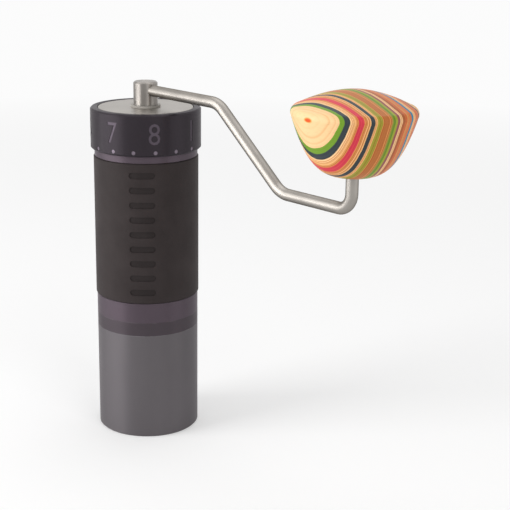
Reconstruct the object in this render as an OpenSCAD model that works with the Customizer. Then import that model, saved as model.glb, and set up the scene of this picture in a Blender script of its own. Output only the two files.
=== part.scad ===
// Hand crank coffee grinder with a stepped adjustment ring, a conical burr set and a magnetic catch cup.
// The frame stands on the cup: the origin is the centre of the cup's flat bottom, +Z runs up the drive
// axle and +X runs out along the crank. Every length is in millimetres.

/* [Catch cup] */
// Outside diameter of the catch cup, the collar and the body tube
body_d = 55.6; // [54:0.2:60]
// Height of the cup from its bottom to its rim
cup_h = 59; // [40:1:80]
// Wall of the cup below its seat for the collar
cup_wall = 2.6; // [2.2:0.1:3]
// Wall of the cup's rim, where the collar plugs in
cup_rim_wall = 1.6; // [1.2:0.1:1.8]
// Thickness of the cup's floor
cup_floor = 2.5; // [1.5:0.1:4]
// Radius inside the cup between its wall and floor
cup_fillet = 4; // [1:0.5:8]
// Bevel round the outside of the cup's bottom
cup_bevel = 0.8; // [0.3:0.1:1.5]
// Thickness of the steel ring that the magnets pull
keeper_t = 1; // [0.6:0.1:1.5]
// Width of that ring, from its bore to its rim
keeper_w = 3.6; // [3.4:0.1:4.2]

/* [Collar and magnets] */
// Height of the visible collar between the cup and the body tube
collar_h = 7.5; // [5:0.5:12]
// Depth that the collar plugs into the cup
plug_depth = 7; // [5:0.5:10]
// Wall of the collar's plug, where the magnets sit
collar_wall = 4; // [3.4:0.1:5]
// Length of the threaded tail that screws into the body tube
tail_h = 5.8; // [4:0.2:8]
// Wall of the threaded tail
tail_wall = 2.9; // [2:0.1:3.4]
// Diameter of each magnet
magnet_d = 2.6; // [2:0.1:2.8]
// Height of each magnet
magnet_h = 2; // [1:0.1:3]
// Number of magnets round the collar
magnet_count = 6; // [3:1:12]

/* [Body tube] */
// Length of the body tube from the collar up to the adjustment ring
body_h = 91.5; // [90:0.5:120]
// Width of the step in the bean chamber that holds the lower bridge down
chamber_step = 0.8; // [0.6:0.1:1.2]
// Wall of the neck inside the adjustment ring
neck_wall = 4.2; // [3.6:0.1:5]
// How far the grip sleeve stands out from the tube
grip_proud = 0.5; // [0:0.1:1.2]
// Wall of the grip sleeve
grip_wall = 1.1; // [0.8:0.1:1.6]
// Length of bare tube below the grip sleeve
bare_h = 11; // [8:0.5:12]
// Length of bare tube above the grip sleeve
band_h = 4; // [2:0.5:20]
// Bevel at the sleeve's two ends
grip_bevel = 0.4; // [0.1:0.1:0.6]

/* [Adjustment ring] */
// Outside diameter of the adjustment ring
dial_d = 59.5; // [59:0.5:64]
// Height of the adjustment ring
dial_h = 22; // [22:0.5:26]
// Wall of the ring's upper part, round the carrier and the lid
dial_wall = 3.85; // [3:0.05:5]
// Step from the ring's upper bore out to its skirt round the neck
dial_step = 0.4; // [0.3:0.1:1]
// Bevel round the ring's two outer edges
dial_bevel = 0.8; // [0.4:0.1:1.4]
// Number of clicks in one turn of the ring
click_count = 80; // [40:10:100]
// Depth of one click notch
click_depth = 0.35; // [0.2:0.05:0.4]
// Thickness of the notched steel ring
click_ring_t = 0.9; // [0.8:0.1:1]
// Height of the notched steel ring
click_ring_h = 3; // [2.6:0.2:3.4]
// Height of the notched ring above the dial's lower face
click_ring_rise = 1; // [0.6:0.1:1.5]
// Diameter of the click ball
click_ball_d = 2.4; // [2:0.1:2.4]
// Section of the wire ring that keeps the dial on the neck
snap_wire_d = 0.8; // [0.6:0.1:0.9]

/* [Bridges] */
// Number of arms on each bridge
arm_count = 3; // [3:1:4]
// Width of each arm
arm_w = 4.5; // [3:0.5:6]
// Height of the lower bridge
bridge_h = 6; // [6:0.5:9]
// Wall of the lower bridge's rim
bridge_rim = 2; // [1.5:0.1:2.4]
// How far the bearing carrier stands above its bearing
carrier_rise = 0.6; // [0.2:0.1:0.8]
// Wall of the bearing carrier's rim
carrier_rim = 3.8; // [3:0.1:4]
// Wall of each bridge's hub round its bearing
hub_wall = 2.2; // [1.6:0.1:3]
// Lip that each bearing seats on
lip_t = 1; // [0.8:0.1:1.4]
// Diameter of the two pins that stop the carrier turning
key_pin_d = 2; // [1.5:0.1:2.2]
// Length of those pins
key_pin_h = 12; // [10:0.5:13]

/* [Axle and bearings] */
// Diameter of the drive axle
axle_d = 8; // [7:0.5:8]
// Distance across the flats of the axle's hexagonal top
hex_af = 6.8; // [6:0.1:6.8]
// Length of the hexagonal top
hex_h = 8; // [6:0.5:8]
// Distance across the two flats that drive the inner burr
flats_w = 6.6; // [6:0.1:7]
// Outside diameter of the axle's ball bearings
bearing_d = 16; // [15:0.5:17]
// Width of the axle's ball bearings
bearing_w = 5; // [4:0.5:5]
// Balls in each of those bearings
bearing_balls = 9; // [7:1:9]
// Thickness of a circlip
circlip_t = 0.8; // [0.6:0.1:1]
// Depth that a circlip stands in its groove
circlip_seat = 0.5; // [0.3:0.1:0.6]
// Width of a circlip beyond its groove
circlip_w = 1.2; // [0.8:0.1:1.4]
// Wire of the preload spring
spring_wire = 1; // [0.8:0.1:1.2]
// Height of the preload spring as fitted
spring_h = 6.4; // [5:0.2:8]
// Turns of the preload spring
spring_turns = 3.5; // [3:0.5:4]

/* [Burrs] */
// How far the collar's tail stands out beyond the burr that it clamps
burr_step = 0.9; // [0.7:0.1:1.4]
// Height of the outer burr
burr_h = 20; // [18:0.5:24]
// Wall of the outer burr at its lower edge
burr_wall = 4.1; // [3.4:0.1:5]
// How much the inner burr narrows over its fine teeth, in radius
fine_taper = 2.8; // [2:0.1:4]
// Diameter of the inner burr's narrow top
burr_top_d = 20; // [18:0.5:22]
// Height of the band of fine teeth
fine_h = 7.5; // [5:0.5:9]
// Distance that the inner burr's top lies below the outer burr's top
burr_sink = 1.6; // [1:0.1:3]
// Wall of the outer burr at its mouth
mouth_wall = 2.5; // [2:0.1:3.5]
// Gap between the two burrs at the finest setting
burr_gap = 0.1; // [0.05:0.01:0.2]
// Extra gap at the throat, which lets the cracked beans in
throat_gap = 0.6; // [0.3:0.1:1.2]
// Fine teeth round each burr
fine_teeth = 36; // [24:2:40]
// Depth of the fine teeth
fine_depth = 1; // [0.6:0.1:1.2]
// Lean of the fine teeth from upright
fine_lean = 14; // [0:1:20]
// Breaking blades on the inner burr
blade_count = 7; // [5:1:8]
// Depth of the flutes between the blades
flute_depth = 2.4; // [1.5:0.1:2.6]
// Lean of the flutes from upright
flute_lean = 28; // [0:1:32]
// Breaking grooves in the outer burr's funnel
groove_count = 12; // [6:1:12]
// Depth of those grooves
groove_depth = 1.2; // [0.6:0.1:1.5]
// Lean of those grooves from upright
groove_lean = 16; // [0:1:20]
// Screws that hold the outer burr
burr_screw_count = 3; // [3:1:4]
// Diameter of those screws
burr_screw_d = 3; // [2.5:0.5:3.5]
// Height of those screws above the burr's lower edge
burr_screw_rise = 12; // [9:0.5:15]
// Diameter of the burr's lock nut across its flats
nut_af = 10; // [9:0.5:12]
// Height of the burr's lock nut
nut_h = 5; // [4:0.5:6]
// Thickness of the washer above the lock nut
burr_washer_t = 1; // [0.8:0.1:1.5]
// Diameter of the washer above the lock nut
burr_washer_d = 15; // [13:0.5:17]
// Diameter of the axle's threaded end
thread_d = 6; // [5:0.5:6]
// How far the threaded end stands out below the nut
thread_end = 1; // [0.5:0.5:3]

/* [Crank] */
// Distance from the drive axle to the knob's post
crank_r = 152; // [120:1:180]
// Diameter of the crank rod
rod_d = 6; // [5:0.5:6]
// Height of the rod's inner run above the lid
rod_rise = 9; // [8.6:0.2:12]
// Drop from the rod's inner run to its outer run
rod_drop = 38; // [20:1:45]
// Distance from the axle at which the rod turns down
drop_start = 59; // [45:1:65]
// Distance from the axle at which the rod turns level again
drop_end = 105.5; // [95:0.5:115]
// Bend radius of the two shallow bends
bend_r = 14; // [8:1:18]
// Bend radius below the knob
post_bend_r = 8; // [7:0.5:10]
// How much fuller the rod is round its bends, in radius
bend_swell = 0.02; // [0.01:0.01:0.1]
// Depth that the rod is pressed into the hub, measured past the hub's centre
rod_seat = 3; // [1:0.5:4]
// Diameter of the crank's hub
hub_d = 13; // [12.5:0.5:16]
// Height of the hub above the lid
hub_rise = 13.5; // [13.2:0.1:16]
// Bevel round the top of the hub
hub_bevel = 0.7; // [0.3:0.1:1]
// Metal left in the hub between the axle's socket and the rod
socket_roof = 1.5; // [1:0.1:3]
// Diameter of the hub's stem, which passes through the lid
stem_d = 11.2; // [11:0.1:12]
// Length of the hub's stem below its circlip
stem_end = 0.5; // [0.4:0.1:1]

/* [Lid] */
// Thickness of the lid's plate
lid_t = 1.4; // [1:0.1:2]
// Depth of the lid's skirt, from its top
skirt_h = 3.1; // [3:0.1:3.6]
// Wall of the lid's skirt
skirt_wall = 2.2; // [2:0.1:3]
// Bevel round the lid's top edge
lid_bevel = 0.3; // [0.1:0.1:0.5]
// Section of the lid's rubber seal
seal_d = 1.4; // [1:0.1:1.5]
// Diameter of the flange on the lid's bush
bush_flange_d = 16; // [15:0.5:20]
// Thickness of that flange
bush_flange_t = 1; // [0.6:0.1:1.2]
// Wall of the lid's bush
bush_wall = 1.4; // [1:0.1:2]
// Wall of the lid's boss round that bush
boss_wall = 2; // [1:0.1:4]

/* [Knob] */
// Diameter of the knob at its widest
knob_d = 58; // [45:0.5:65]
// Height of the knob's dome above its widest line
dome_h = 8.8; // [7:0.1:14]
// Depth of the knob's bowl below its widest line
bowl_h = 31; // [29:0.5:36]
// Fullness of the dome: 1 is a cone, 2 a rounded cap and more is squarer
dome_power = 1.8; // [1.5:0.1:4]
// Fullness of the bowl
bowl_power = 3.4; // [2:0.1:4]
// Radius that rounds the knob's widest line
knob_edge_r = 3.3; // [0.5:0.1:4]
// Height of the knob's bottom above the rod's outer run
knob_rise = 16.3; // [13:0.1:20]
// Diameter of the knob's metal sleeve
sleeve_d = 12.4; // [12:0.2:14]
// Thickness of the sleeve's closed end
sleeve_cap = 1; // [0.6:0.1:2]
// Room in the sleeve above the post's screw
sleeve_room = 2.1; // [0.5:0.1:4]
// Width of the step in the sleeve that stops its upper bearing
sleeve_step = 0.6; // [0.4:0.1:0.8]
// Outside diameter of the knob's two small bearings
small_bearing_d = 10; // [9.5:0.5:10]
// Width of those bearings
small_bearing_w = 3; // [2.5:0.5:3.5]
// Balls in each of those bearings
small_balls = 12; // [8:1:12]
// Depth from the sleeve's mouth to the lower of those bearings
small_bearing_in = 2; // [1.5:0.5:3]
// Length of the spacer tube between those bearings
spacer_h = 11; // [8:0.5:12]
// Diameter of the head of the screw at the post's top
post_screw_head_d = 5.5; // [4.5:0.5:6]
// Height of the head of that screw
post_screw_head_h = 2; // [1.5:0.1:2.5]
// Diameter of that screw
post_screw_d = 3; // [2.5:0.5:3]
// Length of that screw below its washer
post_screw_h = 8; // [6:1:10]
// Thickness of that washer
post_washer_t = 0.8; // [0.5:0.1:1]

/* [Travel and fits] */
// Lead of the ring's thread, which is the drop of the carrier in one turn
thread_lead = 0.8; // [0.5:0.05:1]
// Turns of the adjustment ring from finest to coarsest
dial_turns = 2; // [1:0.5:2]
// Radial clearance of a running fit
run_fit = 0.1; // [0.05:0.01:0.15]
// Radial clearance of a seated piece
seat_fit = 0.02; // [0.01:0.01:0.05]
// Clearance between pieces that only pass each other
pass_fit = 0.3; // [0.2:0.05:0.4]
// Radial clearance of the collar in the cup
plug_fit = 0.2; // [0.1:0.05:0.3]

/* [Hidden] */
// Facets, and how far cuts and joined pieces run past each other
$fn = 96;
small_fn = 40;
sweep_fn = 8;
spring_steps = 14;
curve_steps = 16;
edge_steps = 6;
cut_over = 0.5;
run_overlap = 0.3;
arm_overlap = 0.8;

// Shares of a ball bearing's section, and its small clearances
land_share = 0.32;
ball_share = 0.3;
cage_share = 0.1;
cage_edge = 0.3;
groove_fit = 0.04;
shield_t = 0.25;
shield_inset = 0.15;
shield_lap = 0.1;

// Shapes of the cuts: a tooth's half width as a share of its depth, and how far each cutter overruns its band
tooth_phase = 0.25;
fine_tooth_share = 0.7;
flute_share = 0.9;
fine_overrun = 1.25;
groove_overrun = 1.3;
flute_overrun = 1.35;
burr_edge = 0.6;
cone_edge = 1;
clip_gap_share = 0.7;
snap_gap = 4;
ball_floor = 0.8;
click_coil_share = 0.8;
click_wire = 0.3;
set_key_d = 1.7;
set_key_depth = 1.2;
post_key_af = 2.5;
post_key_depth = 1.2;

travel = thread_lead * dial_turns;
body_r = body_d / 2;

// Catch cup
cup_mouth_r = body_r - cup_rim_wall;
keeper_top = cup_h - plug_depth - pass_fit;
ledge_z = keeper_top - keeper_t;
keeper_r = cup_mouth_r - seat_fit;
keeper_bore_r = cup_mouth_r - keeper_w;

// Collar
plug_r = cup_mouth_r - plug_fit;
collar_bore_r = plug_r - collar_wall;
tail_r = collar_bore_r + tail_wall;
plug_z = cup_h - plug_depth;
body_z = cup_h + collar_h;
tail_z = body_z + tail_h;
magnet_r = (plug_r + collar_bore_r) / 2;

// Burrs
burr_z = tail_z + seat_fit;
burr_top = burr_z + burr_h;
burr_r = tail_r - burr_step;
burr_bore_r = burr_r + seat_fit;
exit_r = burr_r - burr_wall;
mouth_r = burr_r - mouth_wall;
inner_top = burr_top - burr_sink;
inner_h = inner_top - burr_z;
inner_r = exit_r - burr_gap;
throat_r = inner_r - fine_taper;
throat_z = burr_z + fine_h;
top_r = burr_top_d / 2;
fine_slope = atan2(inner_r - throat_r, fine_h);
blade_slope = atan2(throat_r - top_r, inner_h - fine_h);
funnel_throat_r = throat_r + burr_gap + throat_gap;
funnel_slope = atan2(mouth_r - funnel_throat_r, burr_h - fine_h);

// Lower bridge and its bearing
bearing_r = bearing_d / 2;
axle_r = axle_d / 2;
bridge_z = burr_top + seat_fit;
bridge_top = bridge_z + bridge_h;
bridge_hub_r = bearing_r + seat_fit + hub_wall;
lower_bearing_z = bridge_top - lip_t - bearing_w - seat_fit;
lip_r = bearing_r - lip_t;
spring_r = axle_r + seat_fit + spring_wire / 2 + run_fit;
spring_pocket_r = spring_r + spring_wire / 2 + pass_fit;
spring_top = lower_bearing_z - seat_fit;
spring_pocket_z = spring_top - spring_h;
pocket_floor = spring_pocket_z - pass_fit;

// Adjustment ring, whose walls give the neck and the lid their radii
body_top = body_z + body_h;
dial_r = dial_d / 2;
dial_bore_r = dial_r - dial_wall;
dial_skirt_r = dial_bore_r + dial_step;
dial_top = body_top + dial_h;
neck_r = dial_skirt_r - run_fit;
neck_bore_r = neck_r - neck_wall;

// Lid, which hangs from the crank's hub
lid_top = dial_top;
lid_r = dial_bore_r - pass_fit;
skirt_z = lid_top - skirt_h;
bush_bore_r = stem_d / 2 + run_fit;
bush_r = bush_bore_r + bush_wall;
bush_top = lid_top + bush_flange_t;
boss_r = bush_r + boss_wall;
seal_r = dial_bore_r - run_fit - seal_d / 2;
seal_z = (skirt_z + lid_top - lid_t / 2) / 2;

// Crank hub, down to the end of its stem
hub_r = hub_d / 2;
stem_r = stem_d / 2;
shoulder_hub_z = bush_top + run_fit;
hub_top = lid_top + hub_rise;
rod_r = rod_d / 2;
rod_z = lid_top + rod_rise;
axle_top = rod_z - rod_r - socket_roof;
hex_z = axle_top - hex_h;
stem_clip_z = skirt_z - run_fit - circlip_t;
hub_z = stem_clip_z - stem_end;
hex_r = hex_af / 2 / cos(30);
socket_r = (hex_af / 2 + run_fit) / cos(30);

// Bearing carrier, which drops by the travel as the ring turns
upper_clip_z = hub_z - pass_fit - circlip_t;
upper_bearing_top = upper_clip_z - seat_fit;
upper_bearing_z = upper_bearing_top - bearing_w;
carrier_z = upper_bearing_z - lip_t;
carrier_top = upper_bearing_top + carrier_rise;
carrier_h = carrier_top - carrier_z;
carrier_r = dial_bore_r - run_fit;
carrier_bore_r = carrier_r - carrier_rim;
pin_r = (neck_bore_r + neck_r) / 2;
key_pin_z = carrier_top - key_pin_h - pass_fit;

// Body tube, whose neck ends below the carrier's lowest place
shoulder_z = body_top - pass_fit;
neck_top = carrier_z - travel - pass_fit;
chamber_r = burr_bore_r - chamber_step;
neck_taper = abs(chamber_r - neck_bore_r);
tail_bore_r = tail_r + run_fit;
grip_z = body_z + bare_h;
grip_h = body_h - bare_h - band_h;
grip_r = body_r + grip_proud;
grip_bore_r = grip_r - grip_wall;
recess_r = grip_bore_r - seat_fit;
burr_screw_r = burr_screw_d / 2;
burr_screw_z = burr_z + burr_screw_rise;
burr_screw_end = sqrt(recess_r * recess_r - burr_screw_r * burr_screw_r);
burr_screw_reach = burr_screw_end - burr_bore_r;

// Click ring and snap ring, between the adjustment ring and the neck
click_outer_r = dial_skirt_r + click_ring_t;
click_z = body_top + click_ring_rise + click_ring_h / 2;
click_top = click_z + click_ring_h / 2;
snap_z = (click_top + neck_top) / 2;
snap_r = neck_r + run_fit / 2;
ball_r = click_ball_d / 2;
ball_x = dial_skirt_r - seat_fit - ball_r;
ball_hole_x = neck_bore_r + ball_floor;
click_coil_r = ball_r * click_coil_share;
click_coil_bore_r = click_coil_r - click_wire;
click_coil_x = ball_hole_x + seat_fit;
ball_seat = sqrt(ball_r * ball_r - click_coil_bore_r * click_coil_bore_r) + seat_fit;
click_coil_h = ball_x - ball_seat - click_coil_x;

// Axle
washer_top = burr_z - seat_fit;
nut_top = washer_top - burr_washer_t - seat_fit;
nut_z = nut_top - nut_h;
thread_r = thread_d / 2;
axle_z = nut_z - thread_end;
clip_r = axle_r - circlip_seat;
stem_clip_r = stem_r - circlip_seat;

// Crank rod, as corner points in the XZ plane
low_z = rod_z - rod_drop;
knob_z = low_z + knob_rise;
equator_z = knob_z + bowl_h;
sleeve_r = sleeve_d / 2;
small_r = small_bearing_d / 2;
low_bearing_z = knob_z + small_bearing_in;
spacer_z = low_bearing_z + small_bearing_w + seat_fit;
high_bearing_z = spacer_z + spacer_h + seat_fit;
post_top = high_bearing_z + small_bearing_w;
post_washer_z = post_top + seat_fit;
post_head_z = post_washer_z + post_washer_t + seat_fit;
sleeve_h = post_head_z + post_screw_head_h + sleeve_room + sleeve_cap - knob_z;
post_screw_r = post_screw_d / 2;
post_screw_z = post_washer_z - post_screw_h;
post_clip_z = low_bearing_z - seat_fit - circlip_t;
post_clip_r = rod_r - circlip_seat;
small_bearing_heights = [low_bearing_z, high_bearing_z];
rod_points = [
    [-rod_seat, rod_z], [drop_start, rod_z], [drop_end, low_z], [crank_r, low_z], [crank_r, post_top]
];
rod_bends = [0, bend_r, bend_r, post_bend_r, 0];

// Knob: two curves that would meet at a corner, which an arc rounds where they are nearly straight
dome_fall = atan(2 * dome_h * dome_power / knob_d);
bowl_fall = atan(2 * bowl_h * bowl_power / knob_d);
edge_turn = 180 - dome_fall - bowl_fall;
edge_lean = (bowl_fall - dome_fall) / 2;
edge_in = knob_edge_r / cos(edge_turn / 2);
corner_r = knob_d / 2 - knob_edge_r + edge_in * cos(edge_lean);
edge_back = knob_edge_r * tan(edge_turn / 2);
edge_x = knob_d / 2 - knob_edge_r;
edge_z = -edge_in * sin(edge_lean);

// A round piece of two radii, standing on z
module ring(outer_r, inner_r, z, height) {
    translate([0, 0, z])
        difference() {
            cylinder(r = outer_r, h = height);
            translate([0, 0, -cut_over])
                cylinder(r = inner_r, h = height + 2 * cut_over);
        }
}

// A round hole through whatever lies between z and z + height
module bore(radius, z, height) {
    translate([0, 0, z])
        cylinder(r = radius, h = height);
}

// A ring whose section is a circle
module wire_ring(centre_r, wire_d, z) {
    translate([0, 0, z])
        rotate_extrude()
            translate([centre_r, 0])
                circle(d = wire_d, $fn = small_fn);
}

// A circlip: an open ring with a gap in front and an eye on each side of the gap
module circlip(groove_r, z) {
    outer_r = groove_r + circlip_seat + circlip_w;
    gap_w = groove_r * clip_gap_share;
    translate([0, 0, z])
        difference() {
            cylinder(r = outer_r, h = circlip_t);
            translate([0, 0, -cut_over])
                cylinder(r = groove_r + seat_fit, h = circlip_t + 2 * cut_over);
            translate([-outer_r - cut_over, -gap_w / 2, -cut_over])
                cube([outer_r, gap_w, circlip_t + 2 * cut_over]);
        }
}

// The groove that a circlip stands in
module circlip_groove(shaft_r, groove_r, z) {
    ring(shaft_r + cut_over, groove_r, z - seat_fit, circlip_t + 2 * seat_fit);
}

// Ball bearing pieces, for a bearing between two radii, with its lower face at z
function race_land(r_in, r_out) = (r_out - r_in) * land_share;
function race_ball_r(r_in, r_out) = (r_out - r_in) * ball_share;
function race_pitch_r(r_in, r_out) = (r_in + r_out) / 2;
function race_groove_r(r_in, r_out) = race_ball_r(r_in, r_out) + groove_fit;

module race_groove(r_in, r_out, z, width) {
    wire_ring(race_pitch_r(r_in, r_out), 2 * race_groove_r(r_in, r_out), z + width / 2);
}

module outer_race(r_in, r_out, z, width) {
    land_r = r_out - race_land(r_in, r_out);
    shield_r = r_in + race_land(r_in, r_out) + shield_lap;
    difference() {
        ring(r_out, land_r, z, width);
        race_groove(r_in, r_out, z, width);
    }
    for (shield_z = [z + shield_inset, z + width - shield_t - shield_inset])
        ring(land_r + shield_lap, shield_r, shield_z, shield_t);
}

module inner_race(r_in, r_out, z, width) {
    difference() {
        ring(r_in + race_land(r_in, r_out), r_in + seat_fit, z, width);
        race_groove(r_in, r_out, z, width);
    }
}

module race_balls(r_in, r_out, z, width, count) {
    for (i = [0:count - 1])
        rotate([0, 0, i * 360 / count])
            translate([race_pitch_r(r_in, r_out), 0, z + width / 2])
                sphere(r = race_ball_r(r_in, r_out), $fn = small_fn);
}

module race_cage(r_in, r_out, z, width, count) {
    half_w = (r_out - r_in) * cage_share;
    cage_h = 2 * (race_ball_r(r_in, r_out) + cage_edge);
    window_w = 2 * race_groove_r(r_in, r_out);
    difference() {
        ring(race_pitch_r(r_in, r_out) + half_w, race_pitch_r(r_in, r_out) - half_w,
            z + (width - cage_h) / 2, cage_h);
        for (i = [0:count - 1])
            rotate([0, 0, i * 360 / count])
                translate([race_pitch_r(r_in, r_out), 0, z + width / 2])
                    cube([window_w, window_w, window_w], center = true);
    }
}

// ---- Catch cup: spun aluminium, closed below, with a steel ring pressed onto a ledge near its mouth
module catch_cup() {
    cup_r = body_r - cup_wall;
    color("#6b666d")
        rotate_extrude()
            difference() {
                polygon([
                    [0, 0], [body_r - cup_bevel, 0], [body_r, cup_bevel], [body_r, cup_h],
                    [cup_mouth_r, cup_h], [cup_mouth_r, ledge_z], [cup_r, ledge_z],
                    [cup_r, cup_floor + cup_fillet], [cup_r - cup_fillet, cup_floor + cup_fillet],
                    [cup_r - cup_fillet, cup_floor], [0, cup_floor]
                ]);
                translate([cup_r - cup_fillet, cup_floor + cup_fillet])
                    circle(r = cup_fillet, $fn = small_fn);
            }
}

module cup_keeper_ring() {
    color("#b8b8ba")
        ring(keeper_r, keeper_bore_r, ledge_z, keeper_t);
}

// ---- Collar: plugs into the cup below, screws into the body tube above and clamps the outer burr
module lower_collar() {
    color("#4d474b")
        difference() {
            rotate_extrude()
                polygon([
                    [collar_bore_r, plug_z], [plug_r, plug_z], [plug_r, cup_h], [body_r, cup_h],
                    [body_r, body_z], [tail_r, body_z], [tail_r, tail_z], [collar_bore_r, tail_z]
                ]);
            magnet_array(magnet_d / 2 + seat_fit, plug_z - cut_over, magnet_h + cut_over);
        }
}

module magnet_array(radius, z, height) {
    for (i = [0:magnet_count - 1])
        rotate([0, 0, (i + 0.5) * 360 / magnet_count])
            translate([magnet_r, 0, z])
                cylinder(r = radius, h = height, $fn = small_fn);
}

module collar_magnets() {
    color("#c9c9cc")
        magnet_array(magnet_d / 2, plug_z, magnet_h - seat_fit);
}

// ---- Body tube: one turned aluminium tube with a recess for the grip and a neck for the ring
module body_shell() {
    ball_hole_h = neck_r - ball_hole_x + cut_over;
    color("#5a5058")
        difference() {
            rotate_extrude()
                polygon([
                    [tail_bore_r, body_z], [body_r, body_z], [body_r, grip_z - pass_fit],
                    [recess_r, grip_z - pass_fit], [recess_r, grip_z + grip_h + pass_fit],
                    [body_r, grip_z + grip_h + pass_fit], [body_r, shoulder_z], [neck_r, shoulder_z],
                    [neck_r, neck_top], [neck_bore_r, neck_top], [neck_bore_r, shoulder_z],
                    [chamber_r, shoulder_z - neck_taper], [chamber_r, bridge_top + seat_fit],
                    [burr_bore_r, bridge_top + seat_fit], [burr_bore_r, tail_z], [tail_bore_r, tail_z]
                ]);
            wire_ring(snap_r, snap_wire_d + 2 * seat_fit, snap_z);
            translate([ball_hole_x, 0, click_z])
                rotate([0, 90, 0])
                    cylinder(r = ball_r + seat_fit, h = ball_hole_h, $fn = small_fn);
            key_pin_array(key_pin_d / 2 + run_fit, key_pin_z - travel - pass_fit, key_pin_h);
            burr_screw_array(burr_screw_r + seat_fit, burr_bore_r - cut_over,
                burr_screw_reach + 2 * cut_over);
        }
}

module grip_sleeve() {
    color("#3d3938")
        rotate_extrude()
            polygon([
                [grip_bore_r, grip_z], [grip_r - grip_bevel, grip_z], [grip_r, grip_z + grip_bevel],
                [grip_r, grip_z + grip_h - grip_bevel], [grip_r - grip_bevel, grip_z + grip_h],
                [grip_bore_r, grip_z + grip_h]
            ]);
}

// Set screws lie under the grip sleeve and bear on the outer burr
module burr_screw_array(radius, start_r, length) {
    for (i = [0:burr_screw_count - 1])
        rotate([0, 0, i * 360 / burr_screw_count])
            translate([start_r, 0, burr_screw_z])
                rotate([0, 90, 0])
                    cylinder(r = radius, h = length, $fn = small_fn);
}

module burr_set_screws() {
    color("#8e8e92")
        difference() {
            burr_screw_array(burr_screw_r, burr_bore_r, burr_screw_reach);
            burr_screw_array(set_key_d / 2, burr_screw_end - set_key_depth, set_key_depth + cut_over);
        }
}

// ---- Lower bridge: a rim, a hub and slim arms, clamped between the outer burr and the tube's step
module arm_set(hub_radius, rim_radius, z, height) {
    for (i = [0:arm_count - 1])
        rotate([0, 0, (i + 0.5) * 360 / arm_count])
            translate([hub_radius, -arm_w / 2, z])
                cube([rim_radius - hub_radius, arm_w, height]);
}

module lower_bridge() {
    rim_bore_r = burr_bore_r - bridge_rim;
    color("#9a9aa0")
        difference() {
            union() {
                ring(burr_bore_r - seat_fit, rim_bore_r, bridge_z, bridge_h);
                bore(bridge_hub_r, bridge_z, bridge_h);
                arm_set(bridge_hub_r - arm_overlap, rim_bore_r + arm_overlap, bridge_z, bridge_h);
            }
            bore(bearing_r + seat_fit, bridge_z - cut_over, bridge_h - lip_t + cut_over);
            bore(lip_r, bridge_z - cut_over, bridge_h + 2 * cut_over);
        }
}

module lower_bearing_outer_race() {
    color("#c4c4c8")
        outer_race(axle_r, bearing_r, lower_bearing_z, bearing_w);
}

module lower_bearing_inner_race() {
    color("#c4c4c8")
        inner_race(axle_r, bearing_r, lower_bearing_z, bearing_w);
}

module lower_bearing_balls() {
    color("#dcdce0")
        race_balls(axle_r, bearing_r, lower_bearing_z, bearing_w, bearing_balls);
}

module lower_bearing_cage() {
    color("#a8874a")
        race_cage(axle_r, bearing_r, lower_bearing_z, bearing_w, bearing_balls);
}

// ---- Preload spring: a coil between the lower bearing and the inner burr
function coil_point(turn, radius, z, rise) =
    [radius * cos(turn * 360), radius * sin(turn * 360), z + rise * turn];

module coil(radius, wire_r, z, rise, turns) {
    rings = ceil(turns * spring_steps);
    points = [
        for (i = [0:rings]) for (j = [0:sweep_fn - 1])
            let (turn = i / spring_steps, a = j * 360 / sweep_fn)
            coil_point(turn, radius + wire_r * cos(a), z + wire_r * sin(a), rise)
    ];
    walls = [
        for (i = [0:rings - 1]) for (j = [0:sweep_fn - 1])
            let (a = i * sweep_fn, b = a + sweep_fn, k = (j + 1) % sweep_fn)
            [a + j, a + k, b + k, b + j]
    ];
    first_cap = [for (j = [sweep_fn - 1:-1:0]) j];
    last_cap = [for (j = [0:sweep_fn - 1]) rings * sweep_fn + j];
    polyhedron(points = points, faces = concat(walls, [first_cap, last_cap]), convexity = 8);
}

module preload_spring() {
    wire_r = spring_wire / 2;
    rise = (spring_h - spring_wire) / spring_turns;
    color("#d0d0d4")
        coil(spring_r, wire_r, spring_pocket_z + wire_r, rise, spring_turns);
}

// ---- Outer burr: a funnel of breaking grooves above a band of fine teeth
module tooth_cut(centre_r, centre_z, slope, lean, depth, half_w, length) {
    translate([centre_r, 0, centre_z])
        rotate([0, -slope, 0])
            rotate([lean, 0, 0])
                linear_extrude(height = length, center = true)
                    polygon([[-depth, 0], [depth, 2 * half_w], [depth, -2 * half_w]]);
}

module outer_tooth_cut(centre_r, centre_z, slope, lean, depth, half_w, length) {
    translate([centre_r, 0, centre_z])
        rotate([0, slope, 0])
            rotate([lean, 0, 0])
                linear_extrude(height = length, center = true)
                    polygon([[depth, 0], [-depth, 2 * half_w], [-depth, -2 * half_w]]);
}

module outer_burr() {
    fine_mid_r = (exit_r + funnel_throat_r) / 2;
    fine_angle = atan2(exit_r - funnel_throat_r, fine_h);
    funnel_mid_r = (funnel_throat_r + mouth_r) / 2;
    funnel_mid_z = (throat_z + burr_top) / 2;
    color("#a9aaae")
        difference() {
            rotate_extrude()
                polygon([
                    [exit_r, burr_z], [burr_r - burr_edge, burr_z], [burr_r, burr_z + burr_edge],
                    [burr_r, burr_top - burr_edge], [burr_r - burr_edge, burr_top],
                    [mouth_r, burr_top], [funnel_throat_r, throat_z]
                ]);
            for (i = [0:fine_teeth - 1])
                rotate([0, 0, i * 360 / fine_teeth])
                    outer_tooth_cut(fine_mid_r, burr_z + fine_h / 2, -fine_angle, -fine_lean, fine_depth,
                        fine_depth * fine_tooth_share, fine_h * fine_overrun);
            for (i = [0:groove_count - 1])
                rotate([0, 0, i * 360 / groove_count])
                    outer_tooth_cut(funnel_mid_r, funnel_mid_z, funnel_slope, -groove_lean, groove_depth,
                        groove_depth, (burr_h - fine_h) * groove_overrun);
        }
}

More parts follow.
